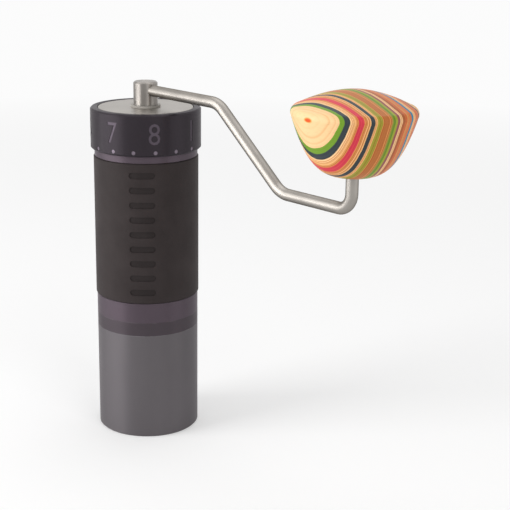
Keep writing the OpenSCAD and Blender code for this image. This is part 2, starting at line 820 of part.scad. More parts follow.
// ---- Inner burr: a cone with breaking blades above and fine teeth below
module inner_burr() {
    fine_mid_r = (inner_r + throat_r) / 2;
    blade_mid_r = (throat_r + top_r) / 2;
    blade_mid_z = (throat_z + inner_top) / 2;
    blade_len = (inner_h - fine_h) * flute_overrun;
    color("#b4b5b9")
        difference() {
            rotate_extrude()
                polygon([
                    [0, burr_z], [inner_r, burr_z], [throat_r, throat_z], [top_r, inner_top - cone_edge],
                    [top_r - cone_edge, inner_top], [0, inner_top]
                ]);
            for (i = [0:fine_teeth - 1])
                rotate([0, 0, (i + tooth_phase) * 360 / fine_teeth])
                    tooth_cut(fine_mid_r, burr_z + fine_h / 2, fine_slope, fine_lean, fine_depth,
                        fine_depth * fine_tooth_share, fine_h * fine_overrun);
            for (i = [0:blade_count - 1])
                rotate([0, 0, i * 360 / blade_count])
                    tooth_cut(blade_mid_r, blade_mid_z, blade_slope, flute_lean, flute_depth,
                        flute_depth * flute_share, blade_len);
            bore(spring_pocket_r, pocket_floor, inner_top);
            flatted_shaft(axle_r + run_fit / 2, flats_w / 2 + run_fit / 2, burr_z - cut_over, inner_h);
        }
}

// A round shaft with two flats
module flatted_shaft(radius, half_flat, z, height) {
    intersection() {
        bore(radius, z, height);
        translate([-radius, -half_flat, z])
            cube([2 * radius, 2 * half_flat, height]);
    }
}

module burr_washer() {
    color("#bdbdc1")
        ring(burr_washer_d / 2, thread_r + run_fit, nut_top + seat_fit, burr_washer_t);
}

module burr_nut() {
    color("#c9c9cd")
        translate([0, 0, nut_z])
            difference() {
                cylinder(r = nut_af / 2 / cos(30), h = nut_h, $fn = 6);
                translate([0, 0, -cut_over])
                    cylinder(r = thread_r + seat_fit, h = nut_h + 2 * cut_over);
            }
}

// ---- Adjustment ring: turns on the neck; its thread lowers the bearing carrier
module adjustment_ring() {
    color("#4b464b")
        difference() {
            rotate_extrude()
                polygon([
                    [dial_skirt_r, body_top], [dial_r - dial_bevel, body_top],
                    [dial_r, body_top + dial_bevel], [dial_r, dial_top - dial_bevel],
                    [dial_r - dial_bevel, dial_top], [dial_bore_r, dial_top],
                    [dial_bore_r, neck_top + pass_fit], [dial_skirt_r, neck_top + pass_fit]
                ]);
            ring(click_outer_r + seat_fit, dial_skirt_r - cut_over, click_z - click_ring_h / 2 - seat_fit,
                click_ring_h + 2 * seat_fit);
            wire_ring(snap_r, snap_wire_d + 2 * seat_fit, snap_z);
        }
}

module click_ring() {
    color("#b0b0b4")
        difference() {
            ring(click_outer_r, dial_skirt_r, click_z - click_ring_h / 2, click_ring_h);
            for (i = [0:click_count - 1])
                rotate([0, 0, i * 360 / click_count])
                    translate([dial_skirt_r, 0, click_z - click_ring_h / 2 - cut_over])
                        cylinder(r = click_depth, h = click_ring_h + 2 * cut_over, $fn = 4);
        }
}

module dial_snap_ring() {
    color("#c2c2c6")
        difference() {
            wire_ring(snap_r, snap_wire_d, snap_z);
            translate([-snap_r, 0, snap_z])
                cube([snap_gap, snap_gap, 2 * snap_wire_d], center = true);
        }
}

module click_ball() {
    color("#dedee2")
        translate([ball_x, 0, click_z])
            sphere(r = ball_r, $fn = small_fn);
}

module click_spring() {
    color("#d0d0d4")
        translate([click_coil_x, 0, click_z])
            rotate([0, 90, 0])
                difference() {
                    cylinder(r = click_coil_r, h = click_coil_h, $fn = small_fn);
                    translate([0, 0, -cut_over])
                        cylinder(r = click_coil_bore_r, h = neck_r, $fn = small_fn);
                }
}

// ---- Bearing carrier: rides on the ring's thread and slides on two pins, so it drops without turning
module key_pin_array(radius, z, height) {
    for (side = [0, 180])
        rotate([0, 0, side + 90])
            translate([pin_r, 0, z])
                cylinder(r = radius, h = height, $fn = small_fn);
}

module bearing_carrier() {
    carrier_hub_r = bearing_r + seat_fit + hub_wall;
    color("#9a9aa0")
        difference() {
            union() {
                ring(carrier_r, carrier_bore_r, carrier_z, carrier_h);
                bore(carrier_hub_r, carrier_z, carrier_h);
                arm_set(carrier_hub_r - arm_overlap, carrier_bore_r + arm_overlap, carrier_z, carrier_h);
            }
            bore(bearing_r + seat_fit, upper_bearing_z - seat_fit, carrier_h);
            bore(lip_r, carrier_z - cut_over, carrier_h + 2 * cut_over);
            key_pin_array(key_pin_d / 2 + seat_fit, carrier_z - cut_over, carrier_h + 2 * cut_over);
        }
}

module key_pins() {
    color("#cfcfd3")
        key_pin_array(key_pin_d / 2, key_pin_z, key_pin_h);
}

module upper_bearing_outer_race() {
    color("#c4c4c8")
        outer_race(axle_r, bearing_r, upper_bearing_z, bearing_w);
}

module upper_bearing_inner_race() {
    color("#c4c4c8")
        inner_race(axle_r, bearing_r, upper_bearing_z, bearing_w);
}

module upper_bearing_balls() {
    color("#dcdce0")
        race_balls(axle_r, bearing_r, upper_bearing_z, bearing_w, bearing_balls);
}

module upper_bearing_cage() {
    color("#a8874a")
        race_cage(axle_r, bearing_r, upper_bearing_z, bearing_w, bearing_balls);
}

// ---- Drive axle: round in its bearings, hexagonal on top, flatted in the burr and threaded below
module drive_axle() {
    color("#c6c7cb")
        difference() {
            union() {
                bore(axle_r, pocket_floor + seat_fit, hex_z - pocket_floor - seat_fit);
                flatted_shaft(axle_r, flats_w / 2, burr_z, pocket_floor + seat_fit - burr_z);
                bore(thread_r, axle_z, burr_z - axle_z);
                translate([0, 0, hex_z])
                    cylinder(r = hex_r, h = hex_h, $fn = 6);
            }
            circlip_groove(axle_r, clip_r, upper_clip_z);
        }
}

module axle_circlip() {
    color("#7d7d82")
        circlip(clip_r, upper_clip_z);
}

// ---- Crank hub: drops over the hexagonal end of the axle and carries the lid on its stem
module crank_hub() {
    color("#a9a6a3")
        difference() {
            union() {
                rotate_extrude()
                    polygon([
                        [0, shoulder_hub_z], [hub_r, shoulder_hub_z], [hub_r, hub_top - hub_bevel],
                        [hub_r - hub_bevel, hub_top], [0, hub_top]
                    ]);
                bore(stem_r, hub_z, shoulder_hub_z - hub_z);
            }
            translate([0, 0, hex_z - pass_fit])
                cylinder(r = socket_r, h = hex_h + pass_fit, $fn = 6);
            bore(axle_r + run_fit, hub_z - cut_over, hex_z - hub_z + cut_over);
            translate([-rod_seat - seat_fit, 0, rod_z])
                rotate([0, 90, 0])
                    cylinder(r = rod_r + seat_fit, h = hub_d + rod_seat);
            circlip_groove(stem_r, stem_clip_r, stem_clip_z);
        }
}

module hub_circlip() {
    color("#7d7d82")
        circlip(stem_clip_r, stem_clip_z);
}

// ---- Crank rod: one bent steel bar, from the hub out, down, level and up into the knob
function heading(a, b) = atan2(b[1] - a[1], b[0] - a[0]);
function turn_at(i) = heading(rod_points[i], rod_points[i + 1]) - heading(rod_points[i - 1], rod_points[i]);
function bend_cut(i) = rod_bends[i] == 0 ? 0 : rod_bends[i] * tan(abs(turn_at(i)) / 2);

module rod_run(i) {
    start = rod_points[i];
    angle = heading(start, rod_points[i + 1]);
    run_in = bend_cut(i) == 0 ? 0 : bend_cut(i) - run_overlap;
    run_out = bend_cut(i + 1) == 0 ? 0 : bend_cut(i + 1) - run_overlap;
    length = norm(rod_points[i + 1] - start) - run_in - run_out;
    translate([start[0], 0, start[1]])
        rotate([0, 90 - angle, 0])
            translate([0, 0, run_in])
                cylinder(r = rod_r, h = length);
}

module rod_bend(i) {
    turn = turn_at(i);
    side = turn > 0 ? 1 : -1;
    angle_in = heading(rod_points[i - 1], rod_points[i]);
    angle_out = angle_in + turn;
    start = side > 0 ? angle_in - 90 : angle_out + 90;
    centre = rod_points[i] - bend_cut(i) * [cos(angle_in), sin(angle_in)]
        + side * rod_bends[i] * [-sin(angle_in), cos(angle_in)];
    translate([centre[0], 0, centre[1]])
        rotate([90, 0, 0])
            rotate([0, 0, start])
                rotate_extrude(angle = abs(turn))
                    translate([rod_bends[i], 0])
                        circle(r = rod_r + bend_swell);
}

module crank_arm() {
    last = len(rod_points) - 1;
    color("#9d9a96")
        difference() {
            union() {
                for (i = [0:last - 1])
                    rod_run(i);
                for (i = [1:last - 1])
                    rod_bend(i);
            }
            translate([crank_r, 0, 0]) {
                circlip_groove(rod_r, post_clip_r, post_clip_z);
                bore(post_screw_r + seat_fit, post_screw_z - cut_over, post_screw_h + 2 * cut_over);
            }
        }
}

// ---- Lid: a shallow turned plate on a flanged bush, with a rubber seal round its edge
module lid() {
    groove_r = seal_r - seal_d / 2 - seat_fit;
    groove_h = seal_d + 2 * seat_fit;
    color("#c4c0bb")
        difference() {
            rotate_extrude()
                polygon([
                    [bush_r + seat_fit, skirt_z], [boss_r, skirt_z], [boss_r, lid_top - lid_t],
                    [lid_r - skirt_wall, lid_top - lid_t], [lid_r - skirt_wall, skirt_z],
                    [lid_r, skirt_z], [lid_r, lid_top - lid_bevel], [lid_r - lid_bevel, lid_top],
                    [bush_r + seat_fit, lid_top]
                ]);
            ring(lid_r + cut_over, groove_r, seal_z - groove_h / 2, groove_h);
        }
}

module lid_bush() {
    color("#8f8b88")
        rotate_extrude()
            polygon([
                [bush_bore_r, skirt_z], [bush_r, skirt_z], [bush_r, lid_top], [bush_flange_d / 2, lid_top],
                [bush_flange_d / 2, bush_top], [bush_bore_r, bush_top]
            ]);
}

module lid_seal() {
    color("#2c2b2d")
        wire_ring(seal_r, seal_d, seal_z);
}

// ---- Knob: turned from laminated wood round a metal sleeve that runs on two small bearings
function cap_height(r, depth, power) = depth * (1 - pow(r / corner_r, power));

module knob() {
    dome_reach = asin((corner_r - edge_back * cos(dome_fall)) / corner_r);
    bowl_reach = asin((corner_r - edge_back * cos(bowl_fall)) / corner_r);
    dome = [
        for (i = [curve_steps:-1:0])
            let (r = corner_r * sin(i * dome_reach / curve_steps))
            [r, cap_height(r, dome_h, dome_power)]
    ];
    bowl = [
        for (i = [0:curve_steps])
            let (r = corner_r * sin(i * bowl_reach / curve_steps))
            [r, -cap_height(r, bowl_h, bowl_power)]
    ];
    edge = [
        for (i = [1:edge_steps - 1])
            let (a = bowl_fall - 90 + i * edge_turn / edge_steps)
            [edge_x + knob_edge_r * cos(a), edge_z + knob_edge_r * sin(a)]
    ];
    color("#b98a5a")
        translate([crank_r, 0, 0])
            difference() {
                translate([0, 0, equator_z])
                    rotate_extrude()
                        polygon(concat(bowl, edge, dome));
                bore(sleeve_r + seat_fit, knob_z - cut_over, sleeve_h + seat_fit + cut_over);
            }
}

module knob_sleeve() {
    color("#9c9894")
        translate([crank_r, 0, 0])
            difference() {
                bore(sleeve_r, knob_z, sleeve_h);
                bore(small_r + seat_fit, knob_z - cut_over, post_top + seat_fit - knob_z + cut_over);
                bore(small_r - sleeve_step, knob_z, sleeve_h - sleeve_cap);
            }
}

module knob_outer_races() {
    color("#c4c4c8")
        translate([crank_r, 0, 0])
            for (z = small_bearing_heights)
                outer_race(rod_r, small_r, z, small_bearing_w);
}

module knob_inner_races() {
    color("#c4c4c8")
        translate([crank_r, 0, 0])
            for (z = small_bearing_heights)
                inner_race(rod_r, small_r, z, small_bearing_w);
}

module knob_balls() {
    color("#dcdce0")
        translate([crank_r, 0, 0])
            for (z = small_bearing_heights)
                race_balls(rod_r, small_r, z, small_bearing_w, small_balls);
}

module knob_cages() {
    color("#a8874a")
        translate([crank_r, 0, 0])
            for (z = small_bearing_heights)
                race_cage(rod_r, small_r, z, small_bearing_w, small_balls);
}

module knob_spacer() {
    color("#b5b5b9")
        translate([crank_r, 0, 0])
            ring(rod_r + race_land(rod_r, small_r), rod_r + seat_fit, spacer_z, spacer_h);
}

module post_circlip() {
    color("#7d7d82")
        translate([crank_r, 0, 0])
            circlip(post_clip_r, post_clip_z);
}

module post_washer() {
    color("#bdbdc1")
        translate([crank_r, 0, 0])
            ring(rod_r + race_land(rod_r, small_r), post_screw_r + seat_fit, post_washer_z, post_washer_t);
}

module post_screw() {
    color("#c9c9cd")
        translate([crank_r, 0, 0])
            difference() {
                union() {
                    bore(post_screw_head_d / 2, post_head_z, post_screw_head_h);
                    bore(post_screw_r, post_screw_z, post_head_z - post_screw_z);
                }
                translate([0, 0, post_head_z + post_screw_head_h - post_key_depth])
                    cylinder(r = post_key_af / 2 / cos(30), h = post_key_depth + cut_over, $fn = 6);
            }
}

catch_cup();
cup_keeper_ring();
body_shell();
grip_sleeve();
lower_collar();
collar_magnets();
outer_burr();
burr_set_screws();
lower_bridge();
lower_bearing_outer_race();
lower_bearing_inner_race();
lower_bearing_balls();
lower_bearing_cage();
preload_spring();
adjustment_ring();
click_ring();
dial_snap_ring();
click_ball();
click_spring();
bearing_carrier();
key_pins();
upper_bearing_outer_race();
upper_bearing_inner_race();
upper_bearing_balls();
upper_bearing_cage();
drive_axle();
axle_circlip();
inner_burr();
burr_washer();
burr_nut();
crank_hub();
crank_arm();
hub_circlip();
lid();
lid_bush();
lid_seal();
knob();
knob_sleeve();
knob_outer_races();
knob_inner_races();
knob_balls();
knob_cages();
knob_spacer();
post_circlip();
post_washer();
post_screw();
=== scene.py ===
import math

import bmesh
import bpy
from mathutils import Matrix, Vector
from mathutils.geometry import delaunay_2d_cdt


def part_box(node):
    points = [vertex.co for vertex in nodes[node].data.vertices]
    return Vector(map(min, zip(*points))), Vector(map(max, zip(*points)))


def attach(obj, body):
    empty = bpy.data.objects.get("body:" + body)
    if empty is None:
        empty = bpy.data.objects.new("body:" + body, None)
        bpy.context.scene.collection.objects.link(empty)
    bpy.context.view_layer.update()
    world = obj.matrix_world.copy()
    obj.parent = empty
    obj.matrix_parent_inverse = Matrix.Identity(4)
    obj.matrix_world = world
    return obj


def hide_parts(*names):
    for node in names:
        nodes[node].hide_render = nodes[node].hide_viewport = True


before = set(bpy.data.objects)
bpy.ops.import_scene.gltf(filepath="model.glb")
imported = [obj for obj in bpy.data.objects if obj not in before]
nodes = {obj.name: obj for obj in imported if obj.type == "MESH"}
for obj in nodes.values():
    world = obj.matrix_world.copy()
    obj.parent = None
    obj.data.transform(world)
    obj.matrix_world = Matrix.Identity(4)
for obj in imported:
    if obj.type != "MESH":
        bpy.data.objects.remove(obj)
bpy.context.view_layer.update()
scene = bpy.context.scene
MM = 0.001


# ---- Catch cup ----
# A deep cup turned from aluminium, blasted to a fine satin and anodised a cool mid grey.
# The tool leaves rings too fine to feel, and the finish wears thin first on its two rims.

def new_material(name):
    """An empty material with one Principled shader; gives the material, its tree and the shader."""
    material = bpy.data.materials.new(name)
    material.use_nodes = True
    tree = material.node_tree
    tree.nodes.clear()
    shader = tree.nodes.new("ShaderNodeBsdfPrincipled")
    output = tree.nodes.new("ShaderNodeOutputMaterial")
    tree.links.new(shader.outputs["BSDF"], output.inputs["Surface"])
    return material, tree, shader


def add(tree, kind, links=None, **settings):
    """Adds a node: settings are its properties or input values, links are sockets to join."""
    made = tree.nodes.new(kind)
    for name, value in settings.items():
        if name in made.bl_rna.properties:
            setattr(made, name, value)
        else:
            made.inputs[name.replace("_", " ")].default_value = value
    for socket, source in (links or {}).items():
        tree.links.new(source, made.inputs[socket])
    return made


def sums(tree, operation, *terms):
    """One math node; each term is a number or a socket."""
    made = tree.nodes.new("ShaderNodeMath")
    made.operation = operation
    for side, term in enumerate(terms):
        if isinstance(term, (int, float)):
            made.inputs[side].default_value = term
        else:
            tree.links.new(term, made.inputs[side])
    return made.outputs[0]


def place(tree, stretch=(1, 1, 1), shift=(0, 0, 0)):
    """Object coordinates, stretched and shifted."""
    here = add(tree, "ShaderNodeTexCoord")
    mapping = add(tree, "ShaderNodeMapping", {0: here.outputs["Object"]}, Scale=stretch, Location=shift)
    return mapping.outputs["Vector"]


def noise(tree, where, scale, detail):
    """Soft noise at a place, as one value."""
    return add(tree, "ShaderNodeTexNoise", {"Vector": where}, Scale=scale, Detail=detail).outputs[0]


def ramp(tree, value, stops, kind="LINEAR"):
    """A colour ramp over a 0 to 1 value; stops are (place, colour)."""
    made = add(tree, "ShaderNodeValToRGB", {0: value})
    band = made.color_ramp
    band.interpolation = kind
    while len(band.elements) < len(stops):
        band.elements.new(1)
    for element, (where, colour) in zip(band.elements, stops):
        element.position = where
        element.color = (*colour, 1)
    return made.outputs["Color"]


def blended(tree, factor, under, over, how="MIX"):
    """Mixes two colours; each is a colour or a socket."""
    made = tree.nodes.new("ShaderNodeMix")
    made.data_type = "RGBA"
    made.blend_type = how
    for socket, value in ((0, factor), (6, under), (7, over)):
        if isinstance(value, (int, float)):
            made.inputs[socket].default_value = value
        elif isinstance(value, tuple):
            made.inputs[socket].default_value = (*value, 1)
        else:
            tree.links.new(value, made.inputs[socket])
    return made.outputs[2]


def web(code):
    """A web colour in linear light."""
    parts = [int(code[i:i + 2], 16) / 255 for i in (0, 2, 4)]
    return tuple(c / 12.92 if c <= 0.04045 else ((c + 0.055) / 1.055) ** 2.4 for c in parts)


def grey(level):
    return (level, level, level)


def clouded(tree, cloud, colour, darkest):
    """A colour that drifts down to a darker share of itself."""
    dark = tuple(c * darkest for c in colour)
    return ramp(tree, cloud, [(0.3, dark), (0.7, colour)])


def set_gloss(tree, shader, pattern, smooth, rough, start=0.25):
    """Roughness that follows a pattern from a smooth level to a rough one."""
    shine = ramp(tree, pattern, [(start, grey(smooth)), (1 - start, grey(rough))])
    tree.links.new(shine, shader.inputs["Roughness"])


def bump(tree, shader, height, strength, distance):
    """Small relief that only the light feels."""
    made = add(tree, "ShaderNodeBump", {"Height": height}, Strength=strength, Distance=distance)
    tree.links.new(made.outputs["Normal"], shader.inputs["Normal"])


def rubbed_rims(tree, heights, width):
    """1 at the given heights, fading out over a width, and broken up as handling breaks it."""
    parts = add(tree, "ShaderNodeSeparateXYZ", {0: place(tree)})
    rub = None
    for height in heights:
        off = sums(tree, "ABSOLUTE", sums(tree, "SUBTRACT", parts.outputs["Z"], height))
        near = sums(tree, "SUBTRACT", 1.0, sums(tree, "DIVIDE", off, width))
        rub = near if rub is None else sums(tree, "MAXIMUM", rub, near)
    patchy = ramp(tree, noise(tree, place(tree), scale=170, detail=4), [(0.42, grey(0)), (0.66, grey(1))])
    return sums(tree, "MULTIPLY", sums(tree, "MAXIMUM", rub, 0.0), patchy)


def ring_gloss(tree, shader, amount):
    """Turning rings round the axle spread a light up and down a wall, so it shows as an upright band."""
    around = add(tree, "ShaderNodeVectorMath", {1: place(tree)}, operation="CROSS_PRODUCT")
    around.inputs[0].default_value = (0, 0, 1)
    ring_way = add(tree, "ShaderNodeVectorTransform", {0: around.outputs["Vector"]},
                   vector_type="VECTOR", convert_from="OBJECT", convert_to="WORLD")
    tree.links.new(ring_way.outputs["Vector"], shader.inputs["Tangent"])
    shader.inputs["Anisotropic"].default_value = amount
    shader.inputs["Anisotropic Rotation"].default_value = 0.25


def turned_anodised(name, colour, roughness, rims=()):
    """Anodised aluminium: blasted satin over turning rings, a faint cloudiness, rubbed rims and painted
    shade at the outlines.
    """
    material, tree, shader = new_material(name)
    cloud = noise(tree, place(tree, stretch=(1, 1, 0.4)), scale=45, detail=5)
    body = clouded(tree, cloud, colour, darkest=0.9)
    if rims:
        bare = tuple(min(1.0, c * 1.9 + 0.03) for c in colour)
        rubbed = sums(tree, "MULTIPLY", rubbed_rims(tree, rims, width=0.5 * MM), 0.55)
        body = blended(tree, rubbed, body, bare)
    tree.links.new(body, shader.inputs["Base Color"])
    rings = noise(tree, place(tree, stretch=(6, 6, 2600)), scale=1, detail=3)
    grit = noise(tree, place(tree), scale=5200, detail=2)
    set_gloss(tree, shader, rings, roughness - 0.04, roughness + 0.06, start=0.3)
    shader.inputs["Metallic"].default_value = 0.35
    ring_gloss(tree, shader, amount=0.8)
    # Painted shade at the outlines: the gloss is dimmed where the wall turns away from the eye, and the
    # grazing sheen is tinted dark, so the edges stay dark
    edge = add(tree, "ShaderNodeLayerWeight")
    painted_edge_shade = ramp(tree, edge.outputs["Facing"], [(0.5, grey(0.3)), (0.9, grey(0.05))])
    tree.links.new(painted_edge_shade, shader.inputs["Specular IOR Level"])
    shader.inputs["Specular Tint"].default_value = (0.45, 0.43, 0.45, 1)
    bump(tree, shader, sums(tree, "ADD", rings, grit), strength=0.22, distance=0.012 * MM)
    return material


def wear(finish, *names):
    """Gives CAD nodes one finish."""
    for name in names:
        slots = nodes[name].data.materials
        slots.clear()
        slots.append(finish)


cup_low, cup_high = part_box("catch_cup")
cup_rims = (cup_low[2], cup_high[2])
wear(turned_anodised("cup_anodised", web("635f62"), roughness=0.38, rims=cup_rims), "catch_cup")


# ---- Keeper ring and magnets ----
# A punched steel ring, pressed onto the ledge in the cup, and six nickel-plated discs glued
# into blind holes in the collar above it. Their pull is all that holds the cup.

def ground_steel(name, colour, roughness):
    """Hardened or plated steel with fine scratches all ways and a faint cloudiness."""
    material, tree, shader = new_material(name)
    scratch = noise(tree, place(tree), scale=2500, detail=4)
    cloud = noise(tree, place(tree), scale=120, detail=3)
    tree.links.new(clouded(tree, cloud, colour, darkest=0.86), shader.inputs["Base Color"])
    set_gloss(tree, shader, scratch, roughness - 0.06, roughness + 0.1)
    shader.inputs["Metallic"].default_value = 1.0
    bump(tree, shader, scratch, strength=0.2, distance=0.01 * MM)
    return material


def maker_tree(name, *sizes):
    """A Geometry Nodes tree with named inputs; gives the tree and those inputs."""
    tree = bpy.data.node_groups.new(name, "GeometryNodeTree")
    face = tree.interface
    face.new_socket("Geometry", in_out="INPUT", socket_type="NodeSocketGeometry")
    for label, kind in sizes:
        face.new_socket(label, in_out="INPUT", socket_type="NodeSocket" + kind)
    face.new_socket("Geometry", in_out="OUTPUT", socket_type="NodeSocketGeometry")
    entry = tree.nodes.new("NodeGroupInput")
    return tree, entry.outputs


def finish_tree(tree, shape, finish):
    """Ends a tree: real geometry, shaded smooth, with its finish set."""
    real = add(tree, "GeometryNodeRealizeInstances", {0: shape})
    smooth = add(tree, "GeometryNodeSetShadeSmooth", {0: real.outputs[0]})
    dressed = add(tree, "GeometryNodeSetMaterial", {"Geometry": smooth.outputs[0], "Material": finish})
    leave = tree.nodes.new("NodeGroupOutput")
    tree.links.new(dressed.outputs[0], leave.inputs[0])


def circle_points(tree, entry):
    """Points on a level circle round the axle, at the tree's own height and first turn."""
    circle = add(tree, "GeometryNodeMeshCircle", {
        "Vertices": entry["Count"], "Radius": entry["Circle radius"]})
    raised = add(tree, "ShaderNodeCombineXYZ", {2: entry["Middle height"]})
    turned = add(tree, "ShaderNodeCombineXYZ", {2: entry["First turn"]})
    placed = add(tree, "GeometryNodeTransform", {
        "Geometry": circle.outputs[0], "Translation": raised.outputs[0], "Rotation": turned.outputs[0]})
    return placed.outputs[0]


def grown(name, tree, sizes, start=None):
    """Runs a tree on a new object and keeps what it makes as that object's plain mesh."""
    first = start or bpy.data.meshes.new(name + "_start")
    piece = bpy.data.objects.new(name, first)
    scene.collection.objects.link(piece)
    maker = piece.modifiers.new("maker", "NODES")
    maker.node_group = tree
    for item in tree.interface.items_tree:
        if item.in_out == "INPUT" and item.name in sizes:
            maker[item.identifier] = sizes[item.name]
    seen = piece.evaluated_get(bpy.context.evaluated_depsgraph_get())
    made = bpy.data.meshes.new_from_object(seen)
    piece.modifiers.remove(maker)
    piece.data = made
    made.name = name
    bpy.data.meshes.remove(first)
    return piece


def close_up(mesh, crease=0.5):
    """Welds a mesh, turns its faces outwards and creases its corners."""
    work = bmesh.new()
    work.from_mesh(mesh)
    bmesh.ops.remove_doubles(work, verts=work.verts, dist=1e-6)
    bmesh.ops.recalc_face_normals(work, faces=work.faces)
    for face in work.faces:
        face.smooth = True
    work.to_mesh(mesh)
    work.free()
    mesh.set_sharp_from_angle(angle=crease)


wear(ground_steel("keeper_steel", web("b9b8b6"), roughness=0.32), "cup_keeper_ring")

magnet_low, magnet_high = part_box("collar_magnets")
magnet_r = 1.3 * MM
magnet_t = magnet_high[2] - magnet_low[2]
magnet_ring_r = magnet_high[1] - magnet_r
magnet_count = 6
magnet_rounding = 0.15 * MM
first_magnet = math.radians(30)
magnet_nickel = ground_steel("magnet_nickel", web("c9c7c0"), roughness=0.16)

tree, entry = maker_tree("magnet_circle", ("Count", "Int"), ("Circle radius", "Float"),
                         ("Disc radius", "Float"), ("Thickness", "Float"), ("Rounding", "Float"),
                         ("Middle height", "Float"), ("First turn", "Float"), ("Finish", "Material"))
disc = add(tree, "GeometryNodeMeshCylinder", {"Radius": entry["Disc radius"], "Depth": entry["Thickness"]},
           Vertices=24, Side_Segments=3)
spot = add(tree, "ShaderNodeSeparateXYZ", {0: add(tree, "GeometryNodeInputPosition").outputs[0]})
half = sums(tree, "MULTIPLY", entry["Thickness"], 0.5)
side = sums(tree, "SIGN", spot.outputs["Z"])
up = sums(tree, "ABSOLUTE", spot.outputs["Z"])
on_face = sums(tree, "GREATER_THAN", up, sums(tree, "MULTIPLY", half, 0.9))
edge_up = sums(tree, "SUBTRACT", half, entry["Rounding"])
new_up = sums(tree, "ADD", edge_up, sums(tree, "MULTIPLY", on_face, entry["Rounding"]))
rounding_share = sums(tree, "DIVIDE", entry["Rounding"], entry["Disc radius"])
shrink = sums(tree, "SUBTRACT", 1.0, sums(tree, "MULTIPLY", on_face, rounding_share))
moved = add(tree, "ShaderNodeCombineXYZ", {
    0: sums(tree, "MULTIPLY", spot.outputs["X"], shrink),
    1: sums(tree, "MULTIPLY", spot.outputs["Y"], shrink),
    2: sums(tree, "MULTIPLY", side, new_up)})
rounded = add(tree, "GeometryNodeSetPosition", {"Geometry": disc.outputs[0], "Position": moved.outputs[0]})
discs = add(tree, "GeometryNodeInstanceOnPoints", {
    "Points": circle_points(tree, entry), "Instance": rounded.outputs[0]})
finish_tree(tree, discs.outputs[0], entry["Finish"])
magnets = grown("magnet_discs", tree, {
    "Count": magnet_count, "Circle radius": magnet_ring_r, "Disc radius": magnet_r, "Thickness": magnet_t,
    "Rounding": magnet_rounding, "Middle height": (magnet_low[2] + magnet_high[2]) / 2,
    "First turn": first_magnet, "Finish": magnet_nickel})
close_up(magnets.data)
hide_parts("collar_magnets")
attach(magnets, "housing")


# ---- Collar ----
# A turned aluminium ring, anodised darker than the cup. Its tail screws into the body
# tube and clamps the outer burr, and its plug drops into the cup.

collar_rims = (66.5 * MM,)
wear(turned_anodised("collar_anodised", web("494247"), roughness=0.38, rims=collar_rims), "lower_collar")


# ---- Body tube ----
# One turned aluminium tube, anodised a dark grey with a purple cast. It shows as a band
# under the grip and as a thin step above it.

body_rims = (77.5 * MM,)
wear(turned_anodised("body_anodised", web("544a52"), roughness=0.36, rims=body_rims), "body_shell")


# ---- Grip sleeve ----
# A moulded silicone sleeve stretched over the tube, matt and a little dusty. Nine long pads
# are pressed into it in one column, where the thumb holds it.

def moulded_rubber(name, colour, roughness=0.62):
    """Silicone or rubber: matt, with fine pores and a little dust on it."""
    material, tree, shader = new_material(name)
    dust = noise(tree, place(tree), scale=90, detail=5)
    pores = noise(tree, place(tree), scale=3200, detail=2)
    pale = tuple(c * 1.2 + 0.002 for c in colour)
    tree.links.new(ramp(tree, dust, [(0.35, colour), (0.75, pale)]), shader.inputs["Base Color"])
    set_gloss(tree, shader, pores, roughness - 0.06, roughness + 0.06, start=0.3)
    shader.inputs["Specular IOR Level"].default_value = 0.12
    bump(tree, shader, pores, strength=0.25, distance=0.03 * MM)
    return material


def inside(point, points, lines):
    """Whether a point lies within a closed outline, by counting what a line to the right meets."""
    crossings = 0
    for a, b in lines:
        (x1, z1), (x2, z2) = points[a], points[b]
        if (z1 > point[1]) != (z2 > point[1]) and point[0] < x1 + (point[1] - z1) / (z2 - z1) * (x2 - x1):
            crossings += 1
    return crossings % 2 == 1


